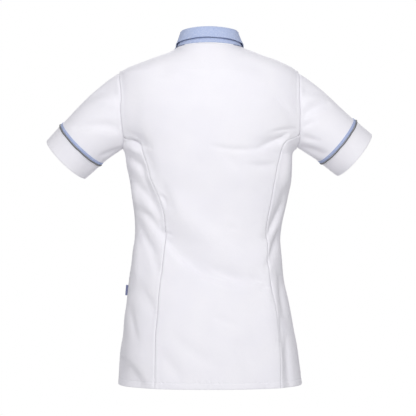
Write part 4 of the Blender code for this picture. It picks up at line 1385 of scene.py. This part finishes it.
def newGroup(name, inputs, outputs):
    group = bpy.data.node_groups.new(name, "ShaderNodeTree")
    for label, kind, value in inputs:
        socket = group.interface.new_socket(name=label, in_out="INPUT", socket_type=kind)
        if value is not None:
            socket.default_value = value
    for label in outputs:
        group.interface.new_socket(name=label, in_out="OUTPUT", socket_type="NodeSocketFloat")
    start = addNode(group, "NodeGroupInput", (-900, 0))
    end = addNode(group, "NodeGroupOutput", (700, 0))
    return group, start.outputs, end.inputs


def maths(tree, operation, place, first, second):
    node = addNode(tree, "ShaderNodeMath", place, operation=operation)
    feed(tree, node.inputs[0], first)
    feed(tree, node.inputs[1], second)
    return node.outputs[0]


def noise(tree, place, vector, detail, scale=1.0):
    node = addNode(tree, "ShaderNodeTexNoise", place)
    node.inputs["Detail"].default_value = detail
    feed(tree, node.inputs["Vector"], vector)
    feed(tree, node.inputs["Scale"], scale)
    return node.outputs[0]


def makeWeaveGroup():
    # warp and weft as crossing threads, with a diagonal twill rib and uneven yarn
    inputs = [
        ("Flat", "NodeSocketVector", None),
        ("Thread", "NodeSocketFloat", 0.0006),
        ("Rib", "NodeSocketFloat", 0.5),
        ("Slub", "NodeSocketFloat", 0.4),
    ]
    group, start, end = newGroup("crossedThreads", inputs, ["Height", "Yarn"])
    parts = addNode(group, "ShaderNodeSeparateXYZ", (-720, 100))
    feed(group, parts.inputs[0], start["Flat"])
    x, y = parts.outputs["X"], parts.outputs["Y"]
    turns = maths(group, "DIVIDE", (-720, -60), 2 * math.pi, start["Thread"])
    halfTurns = maths(group, "MULTIPLY", (-540, -220), turns, 0.5)

    def ridges(left, level, value, rate):
        turned = maths(group, "MULTIPLY", (left, level), value, rate)
        return maths(group, "SINE", (left + 180, level), turned, 0.0)

    slope = maths(group, "ADD", (-540, -80), x, y)
    rib = ridges(-360, -80, slope, halfTurns)
    crossed = maths(group, "MULTIPLY", (-180, 120), ridges(-540, 200, x, turns), ridges(-540, 60, y, turns))
    ribbed = maths(group, "MULTIPLY", (0, -80), rib, start["Rib"])
    # long thin blotches along each thread direction
    yarns = []
    for level, stretch in ((-400, (180.0, 1400.0, 1.0)), (-600, (1400.0, 180.0, 1.0))):
        scaled = addNode(group, "ShaderNodeVectorMath", (-540, level), operation="MULTIPLY")
        feed(group, scaled.inputs[0], start["Flat"])
        scaled.inputs[1].default_value = stretch
        yarns.append(noise(group, (-360, level), scaled.outputs[0], 3.0))
    yarn = maths(group, "MULTIPLY", (0, -400), maths(group, "ADD", (-180, -400), *yarns), 0.5)
    uneven = maths(group, "MULTIPLY", (180, -300), yarn, start["Slub"])
    height = maths(group, "ADD", (180, 60), maths(group, "ADD", (0, 60), crossed, ribbed), uneven)
    feed(group, end["Height"], height)
    feed(group, end["Yarn"], yarn)
    return group


def makeWearGroup():
    # broad soft patches and fine specks, so that no panel is one even tone
    inputs = [("Place", "NodeSocketVector", None), ("Patch Size", "NodeSocketFloat", 0.06)]
    group, start, end = newGroup("softPatches", inputs, ["Patches", "Specks"])
    scale = maths(group, "DIVIDE", (-720, -100), 1.0, start["Patch Size"])
    feed(group, end["Patches"], noise(group, (-360, 100), start["Place"], 2.0, scale))
    feed(group, end["Specks"], noise(group, (-360, -150), start["Place"], 2.0, 900.0))
    return group


weaveGroup = makeWeaveGroup()
wearGroup = makeWearGroup()


def colourMix(tree, place, share, first, second, limits):
    ramp = addNode(tree, "ShaderNodeMapRange", (place[0] - 200, place[1]))
    ramp.inputs["From Min"].default_value, ramp.inputs["From Max"].default_value = limits
    feed(tree, ramp.inputs["Value"], share)
    node = addNode(tree, "ShaderNodeMix", place, data_type="RGBA")
    feed(tree, node.inputs["Factor"], ramp.outputs[0])
    sockets = [socket for socket in node.inputs if socket.type == "RGBA"]
    for socket, value in zip(sockets, (first, second)):
        feed(tree, socket, (*value, 1.0) if isinstance(value, tuple) else value)
    return [socket for socket in node.outputs if socket.type == "RGBA"][0]


def newMaterial(name, roughness, patchSize):
    material = bpy.data.materials.new(name)
    material.use_nodes = True
    tree = material.node_tree
    shader = tree.nodes["Principled BSDF"].inputs
    shader["Roughness"].default_value = roughness
    place = addNode(tree, "ShaderNodeTexCoord", (-1300, -200))
    wear = addNode(tree, "ShaderNodeGroup", (-1080, -200), node_tree=wearGroup)
    wear.inputs["Patch Size"].default_value = patchSize
    feed(tree, wear.inputs["Place"], place.outputs["Object"])
    return material, tree, shader, wear.outputs


def addBump(tree, shader, height, strength, distance):
    bump = addNode(tree, "ShaderNodeBump", (-300, -200))
    bump.inputs["Strength"].default_value = strength
    bump.inputs["Distance"].default_value = distance
    feed(tree, bump.inputs["Height"], height)
    feed(tree, shader["Normal"], bump.outputs[0])


def clothMaterial(name, look):
    material, tree, shader, wear = newMaterial(name, look["roughness"], look["patchSize"])
    shader["Specular IOR Level"].default_value = look["specular"]
    shader["Sheen Weight"].default_value = look["sheen"]
    shader["Sheen Roughness"].default_value = 0.5
    flat = addNode(tree, "ShaderNodeUVMap", (-1300, 100), uv_map="flat")
    weave = addNode(tree, "ShaderNodeGroup", (-1080, 100), node_tree=weaveGroup)
    feed(tree, weave.inputs["Flat"], flat.outputs[0])
    for socket, key in (("Thread", "thread"), ("Rib", "rib"), ("Slub", "slub")):
        weave.inputs[socket].default_value = look[key]
    base = colourMix(tree, (-700, 200), wear["Patches"], look["colour"], look["patch"], (0.35, 0.65))
    thready = colourMix(tree, (-450, 200), weave.outputs["Yarn"], base, look["yarn"], look["yarnRange"])
    feed(tree, shader["Base Color"], thready)
    addBump(tree, shader, weave.outputs["Height"], look["bump"], look["thread"] * 0.5)
    return material


def plainMaterial(name, colour, other, roughness, patchSize, bump=0.0):
    material, tree, shader, wear = newMaterial(name, roughness, patchSize)
    feed(tree, shader["Base Color"], colourMix(tree, (-350, 0), wear["Patches"], colour, other, (0.3, 0.7)))
    if bump:
        addBump(tree, shader, wear["Specks"], bump, 0.0003)
    return material


whiteLook = {
    "colour": (0.902, 0.890, 0.930),
    "patch": (0.884, 0.872, 0.920),
    "yarn": (0.852, 0.842, 0.900),
    "yarnRange": (0.52, 0.72),
    "roughness": 0.85,
    "specular": 0.25,
    "sheen": 0.08,
    "thread": 0.00055,
    "rib": 0.8,
    "slub": 0.6,
    "patchSize": 0.07,
    "bump": 0.35,
}
chambrayLook = dict(
    whiteLook, colour=(0.455, 0.54, 0.77), patch=(0.425, 0.51, 0.75), yarn=(0.62, 0.68, 0.86),
    yarnRange=(0.47, 0.62), thread=0.0006, rib=0.1, slub=0.9, patchSize=0.03, bump=0.4,
)
bandLook = dict(chambrayLook, colour=(0.39, 0.465, 0.70), patch=(0.36, 0.43, 0.66), yarn=(0.52, 0.59, 0.79))
pipingLook = dict(
    whiteLook, colour=(0.165, 0.17, 0.175), patch=(0.14, 0.145, 0.15), yarn=(0.22, 0.225, 0.23),
    yarnRange=(0.45, 0.65), roughness=0.8, specular=0.3, sheen=0.05, thread=0.0005, rib=0.9,
    patchSize=0.02, bump=0.4,
)
tabLook = dict(
    pipingLook, colour=(0.17, 0.19, 0.33), patch=(0.14, 0.16, 0.29), yarn=(0.30, 0.32, 0.46),
    yarnRange=(0.48, 0.64), roughness=0.75, rib=0.6, patchSize=0.01,
)
whiteCloth = clothMaterial("whiteTwill", whiteLook)
chambray = clothMaterial("blueChambray", chambrayLook)
bandBlue = clothMaterial("bandChambray", bandLook)
pipingGrey = clothMaterial("pipingCotton", pipingLook)
tabBlue = clothMaterial("tabTape", tabLook)
whiteThread = plainMaterial("whiteThread", (0.86, 0.86, 0.89), (0.80, 0.80, 0.84), 0.6, 0.02, 0.3)
blueThread = plainMaterial("blueThread", (0.42, 0.51, 0.72), (0.37, 0.46, 0.68), 0.6, 0.02, 0.3)
buttonWhite = plainMaterial("pearlButton", (0.86, 0.86, 0.885), (0.80, 0.80, 0.83), 0.28, 0.004)
print("materials ready")

makeBackCentre(whiteCloth, whiteThread)
for side in (1, -1):
    makeBackSide(side, whiteCloth, whiteThread)
    makeFront(side, whiteCloth, whiteThread)
    sleevePiece = makeSleeve(side, whiteCloth)
    trims = [makeBand(side, bandBlue), makePiping(side, pipingGrey)]
    makeCuff(side, whiteCloth)
makeStand(chambray, blueThread)
makeFall(chambray, blueThread)
makeButtons(buttonWhite, whiteThread)
makeTab(tabBlue)

view = {
    "camera": (0.00105, 3.6, -0.338),
    "lens": 148,
    "sensor": 36.0,
    "clip": (0.1, 50.0),
    "floor": -1.38,
    "floorSize": 4.2,
    "background": (1.0, 1.0, 1.0),
    "ambient": 0.42,
    "ambientColour": (0.97, 0.97, 1.0),
    "aim": (0.0, 0.0, -0.35),
    # place, size, watts: beside the camera, and the same in front
    "lamps": [
        ((0.08, 2.6, 1.1), 1.5, 52.0),
        ((-1.4, 3.0, 0.6), 1.8, 8.0),
        ((-0.08, -2.6, 1.1), 1.5, 52.0),
        ((1.4, -3.0, 0.6), 1.8, 8.0),
    ],
}


def makeStage():
    scene = bpy.context.scene
    half = view["floorSize"] / 2
    corners = [(x * half, y * half, view["floor"]) for x, y in ((-1, -1), (1, -1), (1, 1), (-1, 1))]
    floorMesh = bpy.data.meshes.new("studioFloor")
    floorMesh.from_pydata(corners, [], [(0, 1, 2, 3)])
    floorMesh.materials.append(plainMaterial("paleFloor", (0.80, 0.80, 0.80), (0.78, 0.78, 0.785), 0.7, 0.5))
    addObject("studioFloor", floorMesh)
    for number, (place, size, watts) in enumerate(view["lamps"]):
        lamp = bpy.data.lights.new(f"softbox{number}", "AREA")
        lamp.shape = "SQUARE"
        lamp.size = size
        lamp.energy = watts
        box = addObject(f"softbox{number}", lamp)
        box.location = place
        box.rotation_euler = (Vector(view["aim"]) - Vector(place)).to_track_quat("-Z", "Y").to_euler()
    # the camera sees plain white, and the cloth is lit by a dimmer, slightly blue one
    world = bpy.data.worlds.new("paleStudio")
    scene.world = world
    world.use_nodes = True
    tree = world.node_tree
    tree.nodes.clear()
    path = addNode(tree, "ShaderNodeLightPath", (0, 400))
    both = addNode(tree, "ShaderNodeMixShader", (250, 0))
    feed(tree, both.inputs[0], path.outputs["Is Camera Ray"])
    skies = ((view["ambientColour"], view["ambient"]), (view["background"], 1.0))
    for number, (colour, strength) in enumerate(skies, start=1):
        sky = addNode(tree, "ShaderNodeBackground", (0, 200 - 200 * number))
        sky.inputs["Color"].default_value = (*colour, 1.0)
        sky.inputs["Strength"].default_value = strength
        feed(tree, both.inputs[number], sky.outputs[0])
    out = addNode(tree, "ShaderNodeOutputWorld", (450, 0))
    feed(tree, out.inputs[0], both.outputs[0])
    camera = bpy.data.cameras.new("camera")
    camera.lens = view["lens"]
    camera.sensor_width = view["sensor"]
    camera.clip_start, camera.clip_end = view["clip"]
    eye = addObject("camera", camera)
    eye.location = view["camera"]
    eye.rotation_euler = (rightAngle, 0.0, math.pi)
    scene.camera = eye
    scene.view_settings.view_transform = "Standard"
    scene.view_settings.look = "None"


makeStage()
print("stage ready")
